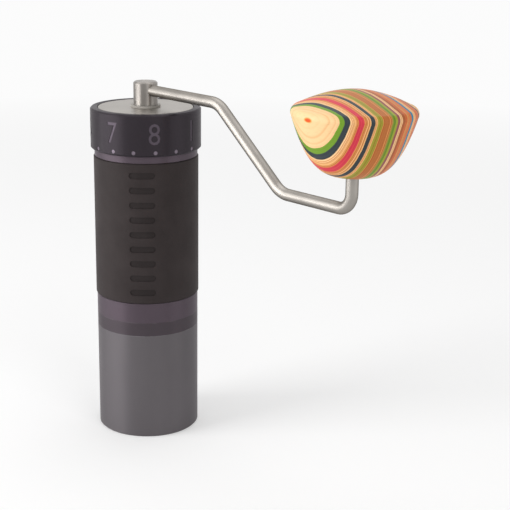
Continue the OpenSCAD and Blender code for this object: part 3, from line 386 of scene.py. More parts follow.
def marked_tube(name, profile, steps, marks, depth, finish, mark_finish):
    """A turned tube whose outer wall carries sunk marks. The profile runs from the wall's top,
    over the top, down the bore and out to the wall's foot; marks are (points, lines) on the
    unrolled wall, with x along it and z up."""
    radius, high = profile[0]
    low = profile[-1][1]
    half_turn = math.pi * radius
    corners = []
    lines = []
    for i in range(steps + 1):
        across = half_turn * (2 * i / steps - 1)
        corners += [Vector((across, low)), Vector((across, high))]
        lines.append((2 * i, 2 * i + 1))
    for i in range(steps):
        lines += [(2 * i, 2 * i + 2), (2 * i + 1, 2 * i + 3)]
    boxes = []
    for points, edges in marks:
        first = len(corners)
        corners += [Vector(p) for p in points]
        lines += [(first + a, first + b) for a, b in edges]
        across = [p[0] for p in points]
        up = [p[1] for p in points]
        boxes.append((min(across), max(across), min(up), max(up)))
    flat = delaunay_2d_cdt(corners, lines, [], 0, 1e-8, False)
    flat_corners, flat_faces = flat[0], flat[2]

    work = bmesh.new()
    made = {}

    def corner(index, sunk):
        if (index, sunk) not in made:
            across, height = flat_corners[index]
            out = radius - depth if sunk else radius
            angle = across / radius
            made[index, sunk] = work.verts.new((out * math.cos(angle), out * math.sin(angle), height))
        return made[index, sunk]

    sunk_sides = {}
    wall_faces = []
    for face in flat_faces:
        middle = sum((flat_corners[i] for i in face), Vector((0, 0))) / len(face)
        sunk = any(x1 < middle[0] < x2 and z1 < middle[1] < z2 and inside(middle, *mark)
                   for mark, (x1, x2, z1, z2) in zip(marks, boxes))
        made_face = work.faces.new([corner(i, sunk) for i in face])
        made_face.material_index = 1 if sunk else 0
        wall_faces.append(made_face)
        if sunk:
            for a, b in zip(face, face[1:] + face[:1]):
                sunk_sides[a, b] = True
    for a, b in sunk_sides:
        if (b, a) not in sunk_sides:
            work.faces.new([corner(a, True), corner(a, False), corner(b, False), corner(b, True)])
    rings = []
    for out, height in profile:
        angles = [math.tau * i / steps - math.pi for i in range(steps)]
        rings.append([work.verts.new((out * math.cos(a), out * math.sin(a), height)) for a in angles])
    for upper, lower in zip(rings, rings[1:]):
        for i in range(steps):
            j = (i + 1) % steps
            work.faces.new([upper[i], upper[j], lower[j], lower[i]])
    bmesh.ops.remove_doubles(work, verts=work.verts, dist=2e-7)
    bmesh.ops.recalc_face_normals(work, faces=work.faces)
    for face in work.faces:
        face.smooth = True
    mesh = bpy.data.meshes.new(name)
    work.to_mesh(mesh)
    work.free()
    mesh.materials.append(finish)
    mesh.materials.append(mark_finish)
    mesh.set_sharp_from_angle(angle=0.5)
    piece = bpy.data.objects.new(name, mesh)
    scene.collection.objects.link(piece)
    return piece


def round_out(mesh, least):
    """Points the shading of every face that looks straight outwards along its own radius."""
    normals = [(0.0, 0.0, 0.0)] * len(mesh.loops)
    for face in mesh.polygons:
        middle = Vector((face.center.x, face.center.y, 0))
        if middle.length > least and face.normal.dot(middle.normalized()) > 0.99:
            for loop in face.loop_indices:
                spot = mesh.vertices[mesh.loops[loop].vertex_index].co
                normals[loop] = Vector((spot.x, spot.y, 0)).normalized()
    mesh.normals_split_custom_set(normals)


def pill(middle_x, middle_z, length, width, sides=10):
    """A round-ended slot on an unrolled wall, as points and lines."""
    reach = (length - width) / 2
    points = []
    for end in (1, -1):
        for i in range(sides + 1):
            turn = math.pi * (i / sides - 0.5)
            out = reach + width / 2 * math.cos(turn)
            points.append((middle_x + end * out, middle_z + end * width / 2 * math.sin(turn)))
    count = len(points)
    return points, [(i, (i + 1) % count) for i in range(count)]


grip_low, grip_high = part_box("grip_sleeve")
grip_r = grip_high[1]
grip_bore = 27.2 * MM
grip_bevel = 0.4 * MM
grip_steps = 180
pad_count = 9
pad_pitch = 8 * MM
pad_length = 14 * MM
pad_width = 3.4 * MM
pad_depth = 0.35 * MM
pad_bearing = -43
pad_x = grip_r * math.radians(pad_bearing)
lowest_pad_z = (grip_low[2] + grip_high[2] - (pad_count - 1) * pad_pitch) / 2
pads = [pill(pad_x, lowest_pad_z + i * pad_pitch, pad_length, pad_width) for i in range(pad_count)]
silicone = moulded_rubber("grip_silicone", web("322c2c"))
pad_silicone = moulded_rubber("grip_pad_silicone", web("2a2525"), roughness=0.7)
grip = marked_tube("grip_tube", [
    (grip_r, grip_high[2] - grip_bevel), (grip_r - grip_bevel, grip_high[2]), (grip_bore, grip_high[2]),
    (grip_bore, grip_low[2]), (grip_r - grip_bevel, grip_low[2]), (grip_r, grip_low[2] + grip_bevel)
], grip_steps, pads, pad_depth, silicone, pad_silicone)
round_out(grip.data, grip_bore + 0.5 * MM)
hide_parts("grip_sleeve")
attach(grip, "housing")


# ---- Burr set ----
# Two hardened steel burrs, milled and ground: a cone on the axle with blades above and fine
# teeth below, and a ring round it, held by three set screws through the tube.

burr_steel = ground_steel("burr_steel", web("a7a8aa"), roughness=0.28)
plain_steel = ground_steel("spring_steel", web("77787b"), roughness=0.34)
wear(burr_steel, "outer_burr", "inner_burr")
wear(plain_steel, "burr_set_screws")


# ---- Lower bridge, bearings and preload spring ----
# A three-armed aluminium bridge, cast and blasted, holds a ball bearing of ground steel with
# a brass cage. A coil spring below it takes the play out of the axle.

def cast_aluminium(name, colour):
    """Blasted casting: pale, dull and finely pitted."""
    material, tree, shader = new_material(name)
    pits = noise(tree, place(tree), scale=1500, detail=5)
    cloud = noise(tree, place(tree), scale=60, detail=3)
    tree.links.new(clouded(tree, cloud, colour, darkest=0.82), shader.inputs["Base Color"])
    set_gloss(tree, shader, pits, 0.45, 0.62, start=0.3)
    shader.inputs["Metallic"].default_value = 0.9
    bump(tree, shader, pits, strength=0.4, distance=0.06 * MM)
    return material


bearing_steel = ground_steel("bearing_steel", web("cfcfd2"), roughness=0.14)
cage_brass = ground_steel("cage_brass", web("b08d4c"), roughness=0.28)
bridge_cast = cast_aluminium("bridge_aluminium", web("a9a9ab"))
wear(bridge_cast, "lower_bridge")
wear(bearing_steel, "lower_bearing_outer_race", "lower_bearing_inner_race", "lower_bearing_balls")
wear(cage_brass, "lower_bearing_cage")
wear(plain_steel, "preload_spring")


# ---- Adjustment ring ----
# A turned aluminium ring, anodised near black. Eight plain numerals and sixteen dots are
# engraved round it, the dots as click marks, and keep a paler purple tone.

def numeral(digit, width, height, middle_x, middle_z):
    """A plain digit's outline, as points and lines on an unrolled wall."""
    letter = bpy.data.curves.new("numeral", "FONT")
    letter.body = str(digit)
    letter.resolution_u = 3
    carrier = bpy.data.objects.new("numeral", letter)
    scene.collection.objects.link(carrier)
    flat = bpy.data.meshes.new_from_object(carrier.evaluated_get(bpy.context.evaluated_depsgraph_get()))
    bpy.data.objects.remove(carrier)
    bpy.data.curves.remove(letter)
    work = bmesh.new()
    work.from_mesh(flat)
    bpy.data.meshes.remove(flat)
    bmesh.ops.remove_doubles(work, verts=work.verts, dist=1e-4)
    rims = [edge for edge in work.edges if edge.is_boundary]
    order = {}
    for edge in rims:
        for vert in edge.verts:
            order.setdefault(vert, len(order))
    across = [vert.co.x for vert in order]
    up = [vert.co.y for vert in order]
    low_x, low_z = min(across), min(up)
    wide, tall = max(across) - low_x, max(up) - low_z
    scale_x, scale_z = min(width / wide, height / tall), height / tall
    points = [(middle_x + (x - low_x - wide / 2) * scale_x, middle_z + (z - low_z - tall / 2) * scale_z)
              for x, z in zip(across, up)]
    lines = [(order[edge.verts[0]], order[edge.verts[1]]) for edge in rims]
    work.free()
    return points, lines


def disc_outline(middle_x, middle_z, radius, sides=20):
    """A round mark on an unrolled wall, as points and lines."""
    turns = [math.tau * i / sides for i in range(sides)]
    points = [(middle_x + radius * math.cos(turn), middle_z + radius * math.sin(turn)) for turn in turns]
    return points, [(i, (i + 1) % sides) for i in range(sides)]


def along_wall(radius, bearing):
    """Where a bearing in degrees falls on the unrolled wall, between the seams at the back."""
    return radius * (math.radians(bearing + 180) % math.tau - math.pi)


dial_low, dial_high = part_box("adjustment_ring")
dial_r = dial_high[1]
dial_bevel = 0.8 * MM
dial_bore = 25.9 * MM
dial_skirt = 26.3 * MM
dial_step_z = 166.78 * MM
click_low, click_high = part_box("click_ring")
click_room = 0.02 * MM
snap_low, snap_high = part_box("dial_snap_ring")
snap_r = (snap_high[2] - snap_low[2]) / 2 + click_room
snap_z = (snap_high[2] + snap_low[2]) / 2
snap_out = 26.25 * MM
snap_turn = math.acos((dial_skirt - snap_out) / snap_r)
dial_steps = 180
mark_depth = 0.2 * MM
numeral_count = 8
numeral_width = 6.2 * MM
numeral_height = 11.2 * MM
numeral_z = 169.9 * MM
last_numeral = -29.5
numeral_spacing = 360 / numeral_count
dot_count = 16
dot_z = 160.1 * MM
dot_r = 1.1 * MM
first_dot = -28.5
dot_spacing = 360 / dot_count
numerals = [numeral(n, numeral_width, numeral_height,
                    along_wall(dial_r, last_numeral + (n - numeral_count) * numeral_spacing), numeral_z)
            for n in range(1, numeral_count + 1)]
dots = [disc_outline(along_wall(dial_r, first_dot + k * dot_spacing), dot_z, dot_r)
        for k in range(dot_count)]
snap_groove = [(snap_out + snap_r * math.cos(a), snap_z + snap_r * math.sin(a))
               for a in (snap_turn * (1 - i / 5) for i in range(11))]
dial_rims = (dial_low[2], dial_high[2])
ring_anodised = turned_anodised("ring_anodised", web("322d32"), roughness=0.36, rims=dial_rims)
engraving = turned_anodised("ring_engraving", web("574f58"), roughness=0.4)
dial = marked_tube("dial_ring", [
    (dial_r, dial_high[2] - dial_bevel), (dial_r - dial_bevel, dial_high[2]), (dial_bore, dial_high[2]),
    (dial_bore, dial_step_z), (dial_skirt, dial_step_z), *snap_groove,
    (dial_skirt, click_high[2] + click_room), (click_high[1] + click_room, click_high[2] + click_room),
    (click_high[1] + click_room, click_low[2] - click_room), (dial_skirt, click_low[2] - click_room),
    (dial_skirt, dial_low[2]), (dial_r - dial_bevel, dial_low[2]), (dial_r, dial_low[2] + dial_bevel)
], dial_steps, numerals + dots, mark_depth, ring_anodised, engraving)
round_out(dial.data, dial_skirt + 1 * MM)
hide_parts("adjustment_ring")
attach(dial, "dial")

tree, entry = maker_tree("dot_circle", ("Count", "Int"), ("Circle radius", "Float"),
                         ("Dot radius", "Float"), ("Middle height", "Float"), ("First turn", "Float"),
                         ("Finish", "Material"))
dome = add(tree, "GeometryNodeMeshUVSphere", {"Radius": entry["Dot radius"]}, Segments=16, Rings=8)
# Each fill is a very low dome, a little smaller than the hole it lies in
flattened = add(tree, "GeometryNodeTransform", {"Geometry": dome.outputs[0]}, Scale=(0.06, 0.97, 0.97))
spot = add(tree, "ShaderNodeSeparateXYZ", {0: add(tree, "GeometryNodeInputPosition").outputs[0]})
bearing = sums(tree, "ARCTAN2", spot.outputs["Y"], spot.outputs["X"])
facing = add(tree, "ShaderNodeCombineXYZ", {2: bearing})
caps = add(tree, "GeometryNodeInstanceOnPoints", {
    "Points": circle_points(tree, entry), "Instance": flattened.outputs[0], "Rotation": facing.outputs[0]})
finish_tree(tree, caps.outputs[0], entry["Finish"])
dot_fill = turned_anodised("dot_enamel", web("7c727d"), roughness=0.45)
dot_caps = grown("dot_fills", tree, {
    "Count": dot_count, "Circle radius": dial_r - mark_depth, "Dot radius": dot_r, "Middle height": dot_z,
    "First turn": math.radians(first_dot), "Finish": dot_fill})
close_up(dot_caps.data)
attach(dot_caps, "dial")

wear(plain_steel, "click_ring", "dial_snap_ring", "click_spring")
wear(bearing_steel, "click_ball")


# ---- Carrier, upper bearing and axle ----
# An aluminium disc with three windows slides on two steel pins and holds the upper bearing.
# The ground steel axle hangs in it by a circlip, with the inner burr's nut at its foot.

wear(bridge_cast, "bearing_carrier")
wear(bearing_steel, "upper_bearing_outer_race", "upper_bearing_inner_race", "upper_bearing_balls")
wear(bearing_steel, "key_pins")
wear(cage_brass, "upper_bearing_cage")
wear(ground_steel("axle_steel", web("aaa7a4"), roughness=0.26), "drive_axle", "burr_washer", "burr_nut")
wear(plain_steel, "axle_circlip")


# ---- Lid ----
# A disc of stainless steel, faced on a lathe, so its rings run round the middle. It turns
# on a grey polymer bush and grips the ring's bore with a rubber seal.

def scored(tree, shade, lines, depth, darkest):
    """A shade with the dark of fine cut lines laid into it."""
    dark = ramp(tree, lines, [(0.3, grey(darkest)), (0.7, grey(1))])
    return blended(tree, depth, shade, dark, "MULTIPLY")


def faced_steel(name, colour, roughness, band=0.0):
    """Steel faced on a lathe: fine rings round the axle, and a band of light up an upright wall."""
    material, tree, shader = new_material(name)
    parts = add(tree, "ShaderNodeSeparateXYZ", {0: place(tree)})
    out = sums(tree, "SQRT", sums(tree, "ADD", sums(tree, "POWER", parts.outputs["X"], 2.0),
                                  sums(tree, "POWER", parts.outputs["Y"], 2.0)))
    rings_out = sums(tree, "MULTIPLY", out, 3800)
    ring_spot = add(tree, "ShaderNodeCombineXYZ", {0: rings_out, 1: parts.outputs["Z"]})
    rings = noise(tree, ring_spot.outputs[0], scale=1, detail=4)
    cloud = noise(tree, place(tree), scale=70, detail=4)
    shade = scored(tree, clouded(tree, cloud, colour, darkest=0.88), rings, depth=0.18, darkest=0.4)
    tree.links.new(shade, shader.inputs["Base Color"])
    set_gloss(tree, shader, rings, roughness - 0.06, roughness + 0.1)
    shader.inputs["Metallic"].default_value = 1.0
    bump(tree, shader, rings, strength=0.3, distance=0.015 * MM)
    if band:
        ring_gloss(tree, shader, band)
    return material


wear(faced_steel("lid_stainless", web("a6a19b"), roughness=0.38), "lid")
wear(moulded_rubber("bush_polymer", web("a5a19b"), roughness=0.5), "lid_bush")
wear(moulded_rubber("seal_rubber", web("1f1f20")), "lid_seal")


# ---- Hub and crank rod ----
# The hub is turned steel with a hexagon socket for the axle. The rod is one round steel bar,
# bent cold twice, bent up once more for the knob and brushed along its length.

wear(faced_steel("hub_stainless", web("9c9792"), roughness=0.4, band=0.85), "crank_hub")
wear(plain_steel, "hub_circlip")

rod_low, rod_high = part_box("crank_arm")
rod_r = 3.0 * MM
inner_run_z = rod_high[2] - rod_r
outer_run_z = 151.0 * MM
drop_start = 59.0 * MM
drop_end = 105.5 * MM
reach = 152.0 * MM
post_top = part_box("knob_inner_races")[1][2]
rod_corners = [(rod_low[0], 0, inner_run_z), (drop_start, 0, inner_run_z), (drop_end, 0, outer_run_z),
               (reach, 0, outer_run_z), (reach, 0, post_top)]
shallow_bend_r = 14 * MM
post_bend_r = 8 * MM
bend_radii = [0, shallow_bend_r, shallow_bend_r, post_bend_r, 0]
rod_sides = 40
bend_steps = 20


def brushed_along(name, colour, roughness):
    """Brushed steel: hair lines that follow the bar's length, from what its maker stored, with painted
    shade at its outlines.
    """
    material, tree, shader = new_material(name)
    way = add(tree, "ShaderNodeAttribute", attribute_name="along")
    ring = add(tree, "ShaderNodeAttribute", attribute_name="round")
    onward = add(tree, "ShaderNodeCombineXYZ", {2: sums(tree, "MULTIPLY", way.outputs["Fac"], 220)})
    around = add(tree, "ShaderNodeVectorMath", {0: ring.outputs["Vector"]}, operation="SCALE", Scale=14000)
    spot = add(tree, "ShaderNodeVectorMath", {0: around.outputs[0], 1: onward.outputs[0]}, operation="ADD")
    hairs = noise(tree, spot.outputs[0], scale=1, detail=4)
    cloud = noise(tree, place(tree), scale=90, detail=4)
    shade = scored(tree, clouded(tree, cloud, colour, darkest=0.84), hairs, depth=0.22, darkest=0.45)
    tree.links.new(shade, shader.inputs["Base Color"])
    set_gloss(tree, shader, hairs, roughness - 0.06, roughness + 0.1)
    shader.inputs["Metallic"].default_value = 1.0
    # The grazing sheen is tinted near black: painted shade along the bar's outline
    shader.inputs["Specular Tint"].default_value = (0.15, 0.14, 0.13, 1)
    bump(tree, shader, hairs, strength=0.15, distance=0.01 * MM)
    return material


rod_path = bpy.data.meshes.new("rod_path")
rod_path.from_pydata(rod_corners, [(i, i + 1) for i in range(4)], [])
radii = rod_path.attributes.new("bend_radius", "FLOAT", "POINT")
for corner_radius, item in zip(bend_radii, radii.data):
    item.value = corner_radius

tree, entry = maker_tree("bent_bar", ("Bar radius", "Float"), ("Sides", "Int"), ("Steps in a bend", "Int"),
                         ("Finish", "Material"))
path = add(tree, "GeometryNodeMeshToCurve", {0: entry["Geometry"]})
bends = add(tree, "GeometryNodeInputNamedAttribute", data_type="FLOAT", Name="bend_radius")
bent = add(tree, "GeometryNodeFilletCurve", {"Curve": path.outputs[0], "Count": entry["Steps in a bend"],
                                             "Radius": bends.outputs["Attribute"]}, mode="POLY")
steps = add(tree, "GeometryNodeSplineParameter")
measured = add(tree, "GeometryNodeStoreNamedAttribute", {
    "Geometry": bent.outputs[0], "Value": steps.outputs["Length"]},
    data_type="FLOAT", domain="POINT", Name="along")
section = add(tree, "GeometryNodeCurvePrimitiveCircle", {
    "Resolution": entry["Sides"], "Radius": entry["Bar radius"]})
rim = add(tree, "GeometryNodeStoreNamedAttribute", {
    "Geometry": section.outputs[0], "Value": add(tree, "GeometryNodeInputPosition").outputs[0]},
    data_type="FLOAT_VECTOR", domain="POINT", Name="round")
bar = add(tree, "GeometryNodeCurveToMesh", {"Curve": measured.outputs[0], "Profile Curve": rim.outputs[0]},
          Fill_Caps=True)
finish_tree(tree, bar.outputs[0], entry["Finish"])
rod = grown("crank_rod", tree, {
    "Bar radius": rod_r, "Sides": rod_sides, "Steps in a bend": bend_steps,
    "Finish": brushed_along("brushed_bar", web("a6a19b"), roughness=0.42)}, rod_path)
close_up(rod.data)
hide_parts("crank_arm")
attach(rod, "crank")


# ---- Knob ----
# A block of dyed maple veneers, glued up and turned on edge, so the layers stand across the
# crank and show as rings on both cheeks. It is sanded, oiled and lacquered to a soft sheen,
# and pressed onto a steel sleeve.

knob_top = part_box("knob")[1][2]
knob_r = 29.0 * MM
dome_h = 8.8 * MM
dome_fullness = 1.8
bowl_h = 31.0 * MM
bowl_fullness = 3.4
edge_r = 3.3 * MM
equator_z = knob_top - dome_h
dome_fall = math.atan(dome_h * dome_fullness / knob_r)
bowl_fall = math.atan(bowl_h * bowl_fullness / knob_r)
edge_turn = math.pi - dome_fall - bowl_fall
edge_lean = (bowl_fall - dome_fall) / 2
edge_in = edge_r / math.cos(edge_turn / 2)
corner_r = knob_r - edge_r + edge_in * math.cos(edge_lean)
edge_back = edge_r * math.tan(edge_turn / 2)
dome_reach = math.asin(1 - edge_back * math.cos(dome_fall) / corner_r)
bowl_reach = math.asin(1 - edge_back * math.cos(bowl_fall) / corner_r)
knob_sides = 128
sleeve_low, sleeve_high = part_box("knob_sleeve")
sleeve_room = 0.02 * MM
sleeve_r = sleeve_high[1] + sleeve_room


def veneered_wood(name):
    """Dyed veneers in flat layers across the knob, each with its own fine stripes and grain."""
    material, tree, shader = new_material(name)
    unit = 1 / knob_r
    across_layers = (0.0404, 0.4983, -0.0123)
    spot = place(tree, stretch=(unit, unit, unit), shift=(-reach * unit, 0, -equator_z * unit))
    waver = noise(tree, spot, scale=2.2, detail=2)
    wave = sums(tree, "MULTIPLY", sums(tree, "SUBTRACT", waver, 0.5), 0.016)
    depth = add(tree, "ShaderNodeVectorMath", {0: spot}, operation="DOT_PRODUCT")
    depth.inputs[1].default_value = across_layers
    layer = sums(tree, "ADD", sums(tree, "ADD", depth.outputs["Value"], 0.5), wave)

    cream, peach, tan = web("f9cf9a"), web("f4be80"), web("dd9854")
    green, lime, olive, khaki = web("6f9a26"), web("a5ad36"), web("a4a033"), web("a9913f")
    slate, red, brown, rust = web("2f3a41"), web("d93a50"), web("bf7236"), web("b3622f")
    purple, teal, orange = web("965259"), web("0d86ae"), web("d8723a")
    # Where each layer starts, as a share of the way from the near cheek to the far one, and its dye
    layers = [
        (0.0, cream), (0.087, green), (0.112, slate), (0.138, cream), (0.157, peach), (0.168, tan),
        (0.187, red), (0.219, tan), (0.240, peach), (0.263, slate), (0.291, peach), (0.311, olive),
        (0.349, tan), (0.361, brown), (0.406, tan), (0.4225, khaki), (0.4375, green),
        (0.4575, lime), (0.479, purple), (0.503, cream), (0.531, rust), (0.560, orange), (0.585, tan),
        (0.610, orange), (0.642, teal), (0.670, peach), (0.710, orange), (0.775, slate), (0.800, peach),
        (0.880, green), (0.910, tan)]
    dyed = ramp(tree, layer, layers, "CONSTANT")

    # Thin lines of glue and summer wood lie in each layer
    thin = noise(tree, add(tree, "ShaderNodeCombineXYZ", {1: layer}).outputs[0], scale=120, detail=2)
    warm = ramp(tree, thin, [(0.36, web("c98a50")), (0.46, web("f7dfb8")), (0.58, grey(1))])
    how_striped = ramp(tree, layer, [
        (0.09, grey(0)), (0.1, grey(0.3)), (0.4, grey(0.45)), (1.0, grey(0.45))])
    striped = blended(tree, how_striped, dyed, warm, "MULTIPLY")
    seams = [0.146, 0.153, 0.176, 0.229, 0.2355, 0.249, 0.2985, 0.3305, 0.355, 0.414, 0.4475, 0.513, 0.5455,
             0.5725, 0.598]
    glue = ramp(tree, layer, [(0.0, grey(1))] + [
        stop for seam in seams for stop in ((seam, web("d9a06e")), (seam + 0.005, grey(1)))], "CONSTANT")
    striped = blended(tree, 0.8, striped, glue, "MULTIPLY")

    # The two cheeks cut across the layers, so their growth rings show
    cheek = ramp(tree, sums(tree, "MULTIPLY", layer, 10), [
        (0.0, grey(0)), (0.16, grey(0.04)), (0.22, grey(0.2)), (0.26, grey(0.02)), (0.42, grey(0.08)),
        (0.49, grey(0.6)), (0.54, grey(0.06)), (0.66, grey(0.1)), (0.73, grey(0.5)), (0.77, grey(0.04)),
        (0.86, grey(0.3)), (0.92, grey(0))])
    ringed = blended(tree, sums(tree, "MULTIPLY", cheek, 0.8), striped, tan)

    # A small resin knot sits on the near cheek
    knot_spot = add(tree, "ShaderNodeMapping", {0: spot}, Rotation=(0, math.radians(-15), 0),
                    Location=(-0.009, 0.349, 0.154), Scale=(1, 0.35, 2.0))
    knot = add(tree, "ShaderNodeVectorMath", {0: knot_spot.outputs[0]}, operation="LENGTH")
    ragged = sums(tree, "MULTIPLY", noise(tree, spot, scale=26, detail=3), 0.02)
    torn = sums(tree, "ADD", knot.outputs["Value"], ragged)
    spread = sums(tree, "MULTIPLY", torn, 7)
    core = ramp(tree, spread, [(0.5, grey(1)), (0.78, grey(0))])
    resin = ramp(tree, spread, [(0.35, web("ee5210")), (0.72, web("ffa838"))])
    knotted = blended(tree, core, ringed, resin)

    # Fibres run level through every layer, with short dark pores
    fibre = noise(tree, place(tree, stretch=(500, 900, 4200)), scale=1, detail=5)
    grain = ramp(tree, fibre, [(0.3, grey(0.86)), (0.5, grey(1))])
    fibred = blended(tree, 0.75, knotted, grain, "MULTIPLY")
    pores = noise(tree, place(tree, stretch=(260, 3000, 5200)), scale=1, detail=2)
    flecks = ramp(tree, pores, [(0.24, grey(0.62)), (0.31, grey(1))])
    tree.links.new(blended(tree, 0.6, fibred, flecks, "MULTIPLY"), shader.inputs["Base Color"])
    set_gloss(tree, shader, fibre, 0.42, 0.54, start=0.3)
    shader.inputs["Specular IOR Level"].default_value = 0.25
    shader.inputs["Coat Weight"].default_value = 0.08
    shader.inputs["Coat Roughness"].default_value = 0.3
    bump(tree, shader, fibre, strength=0.12, distance=0.03 * MM)
    return material


tree, entry = maker_tree("turned_knob", ("Dome height", "Float"), ("Dome fullness", "Float"),
                         ("Bowl depth", "Float"), ("Bowl fullness", "Float"), ("Corner radius", "Float"),
                         ("Dome reach", "Float"), ("Bowl reach", "Float"), ("Edge radius", "Float"),
                         ("Edge out", "Float"), ("Edge up", "Float"), ("Edge start", "Float"),
                         ("Edge turn", "Float"), ("Sides", "Int"), ("Rows", "Int"), ("Middle", "Vector"),
                         ("Bore radius", "Float"), ("Bore length", "Float"), ("Bore middle", "Vector"),
                         ("Finish", "Material"))
sheet = add(tree, "GeometryNodeMeshGrid", {"Vertices X": entry["Sides"], "Vertices Y": entry["Rows"]},
            Size_X=1, Size_Y=1)
spot = add(tree, "ShaderNodeSeparateXYZ", {0: add(tree, "GeometryNodeInputPosition").outputs[0]})
turn = sums(tree, "MULTIPLY_ADD", spot.outputs["X"], math.tau, math.pi / knob_sides)
part = sums(tree, "MULTIPLY_ADD", spot.outputs["Y"], 3.0, 1.5)


def cap_curve(way, reach_angle, depth, fullness):
    """How far out and how far from the widest line a cap lies, for 0 at its pole to 1 at the edge."""
    share = sums(tree, "SINE", sums(tree, "MULTIPLY", way, reach_angle))
    fall = sums(tree, "SUBTRACT", 1.0, sums(tree, "POWER", share, fullness))
    return sums(tree, "MULTIPLY", share, entry["Corner radius"]), sums(tree, "MULTIPLY", depth, fall)


def either(test, yes, no):
    """One of two values, by a test of 0 or 1."""
    made = add(tree, "GeometryNodeSwitch", {"Switch": test, "True": yes, "False": no}, input_type="FLOAT")
    return made.outputs[0]


dome_out, dome_up = cap_curve(sums(tree, "MAXIMUM", part, 0.0), entry["Dome reach"], entry["Dome height"],
                              entry["Dome fullness"])
bowl_way = sums(tree, "MAXIMUM", sums(tree, "SUBTRACT", 3.0, part), 0.0)
bowl_out, bowl_down = cap_curve(bowl_way, entry["Bowl reach"], entry["Bowl depth"], entry["Bowl fullness"])
lean = sums(tree, "SUBTRACT", entry["Edge start"], sums(tree, "MULTIPLY", sums(tree, "SUBTRACT", part, 1.0),
                                                        entry["Edge turn"]))
edge_out = sums(tree, "MULTIPLY_ADD", sums(tree, "COSINE", lean), entry["Edge radius"], entry["Edge out"])
edge_up = sums(tree, "MULTIPLY_ADD", sums(tree, "SINE", lean), entry["Edge radius"], entry["Edge up"])
on_dome = sums(tree, "LESS_THAN", part, 1.0)
on_bowl = sums(tree, "GREATER_THAN", part, 2.0)
out = either(on_dome, dome_out, either(on_bowl, bowl_out, edge_out))
up = either(on_dome, dome_up, either(on_bowl, sums(tree, "MULTIPLY", bowl_down, -1.0), edge_up))
out_x = sums(tree, "MULTIPLY", out, sums(tree, "COSINE", turn))
out_y = sums(tree, "MULTIPLY", out, sums(tree, "SINE", turn))
rolled = add(tree, "ShaderNodeCombineXYZ", {0: out_x, 1: out_y, 2: up})
centred = add(tree, "ShaderNodeVectorMath", {0: rolled.outputs[0], 1: entry["Middle"]}, operation="ADD")
spun = add(tree, "GeometryNodeSetPosition", {"Geometry": sheet.outputs[0], "Position": centred.outputs[0]})
joined = add(tree, "GeometryNodeMergeByDistance", {"Geometry": spun.outputs[0]}, Distance=1e-6)
drill = add(tree, "GeometryNodeMeshCylinder", {
    "Radius": entry["Bore radius"], "Depth": entry["Bore length"]}, Vertices=64)
set_drill = add(tree, "GeometryNodeTransform", {
    "Geometry": drill.outputs[0], "Translation": entry["Bore middle"]})
bored = add(tree, "GeometryNodeMeshBoolean", {"Mesh 1": joined.outputs[0], "Mesh 2": set_drill.outputs[0]},
            operation="DIFFERENCE", solver="EXACT")
finish_tree(tree, bored.outputs[0], entry["Finish"])
bore_foot = sleeve_low[2] - 1 * MM
bore_top = sleeve_high[2] + sleeve_room
rows_a_part = 36
knob = grown("knob_turning", tree, {
    "Dome height": dome_h, "Dome fullness": dome_fullness, "Bowl depth": bowl_h,
    "Bowl fullness": bowl_fullness, "Corner radius": corner_r, "Dome reach": dome_reach,
    "Bowl reach": bowl_reach, "Edge radius": edge_r, "Edge out": knob_r - edge_r,
    "Edge up": -edge_in * math.sin(edge_lean), "Edge start": math.pi / 2 - dome_fall,
    "Edge turn": edge_turn, "Sides": knob_sides + 1, "Rows": 3 * rows_a_part + 1,
    "Middle": (reach, 0, equator_z), "Bore radius": sleeve_r, "Bore length": bore_top - bore_foot,
    "Bore middle": (reach, 0, (bore_top + bore_foot) / 2), "Finish": veneered_wood("dyed_veneers")})
close_up(knob.data)
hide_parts("knob")
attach(knob, "knob")

sleeve_steel = ground_steel("sleeve_steel", web("a6a29d"), roughness=0.3)
wear(sleeve_steel, "knob_sleeve", "knob_spacer", "post_washer", "post_screw")
wear(bearing_steel, "knob_outer_races", "knob_inner_races", "knob_balls")
wear(cage_brass, "knob_cages")
wear(plain_steel, "post_circlip")


# ---- Studio ----
# A sheet of white paper lies on the table. Three soft boxes light it from above, and a low
# card on each side lights the upright walls. The camera looks on from a little above.

def seen_rays(tree):
    """1 where the camera looks, straight on, in a gloss or through a glass; 0 where light only falls."""
    rays = tree.nodes.new("ShaderNodeLightPath")
    looked_at = sums(tree, "MAXIMUM", rays.outputs["Is Camera Ray"], rays.outputs["Is Glossy Ray"])
    return sums(tree, "MAXIMUM", looked_at, rays.outputs["Is Transmission Ray"])


floor_mesh = bpy.data.meshes.new("studio_floor")
far = 6.0
floor_mesh.from_pydata([(-far, -far, 0), (far, -far, 0), (far, far, 0), (-far, far, 0)], [], [(0, 1, 2, 3)])
studio_floor = bpy.data.objects.new("studio_floor", floor_mesh)
scene.collection.objects.link(studio_floor)
paper, tree, shader = new_material("floor_paper")
fuzz = noise(tree, place(tree), scale=800, detail=4)
tree.links.new(ramp(tree, fuzz, [(0.3, grey(0.84)), (0.7, grey(0.88))]), shader.inputs["Base Color"])
shader.inputs["Roughness"].default_value = 0.9
shader.inputs["Specular IOR Level"].default_value = 0.1
# Near the grinder the paper takes its shadow, and further out it goes over to plain white
from_foot = add(tree, "ShaderNodeVectorMath", {0: place(tree)}, operation="LENGTH").outputs["Value"]
evenness = add(tree, "ShaderNodeMapRange", {0: from_foot},
               From_Min=0.1, From_Max=1.2, To_Min=0.15, To_Max=1.0)
brightness = sums(tree, "ADD", sums(tree, "DIVIDE", 0.19, evenness.outputs[0]), 0.78)
glow = add(tree, "ShaderNodeEmission", {"Strength": brightness})
how_white = sums(tree, "MULTIPLY", seen_rays(tree), evenness.outputs[0])
lit = add(tree, "ShaderNodeMixShader", {0: how_white, 1: shader.outputs[0], 2: glow.outputs[0]})
tree.links.new(lit.outputs[0], tree.nodes["Material Output"].inputs["Surface"])
studio_floor.data.materials.append(paper)

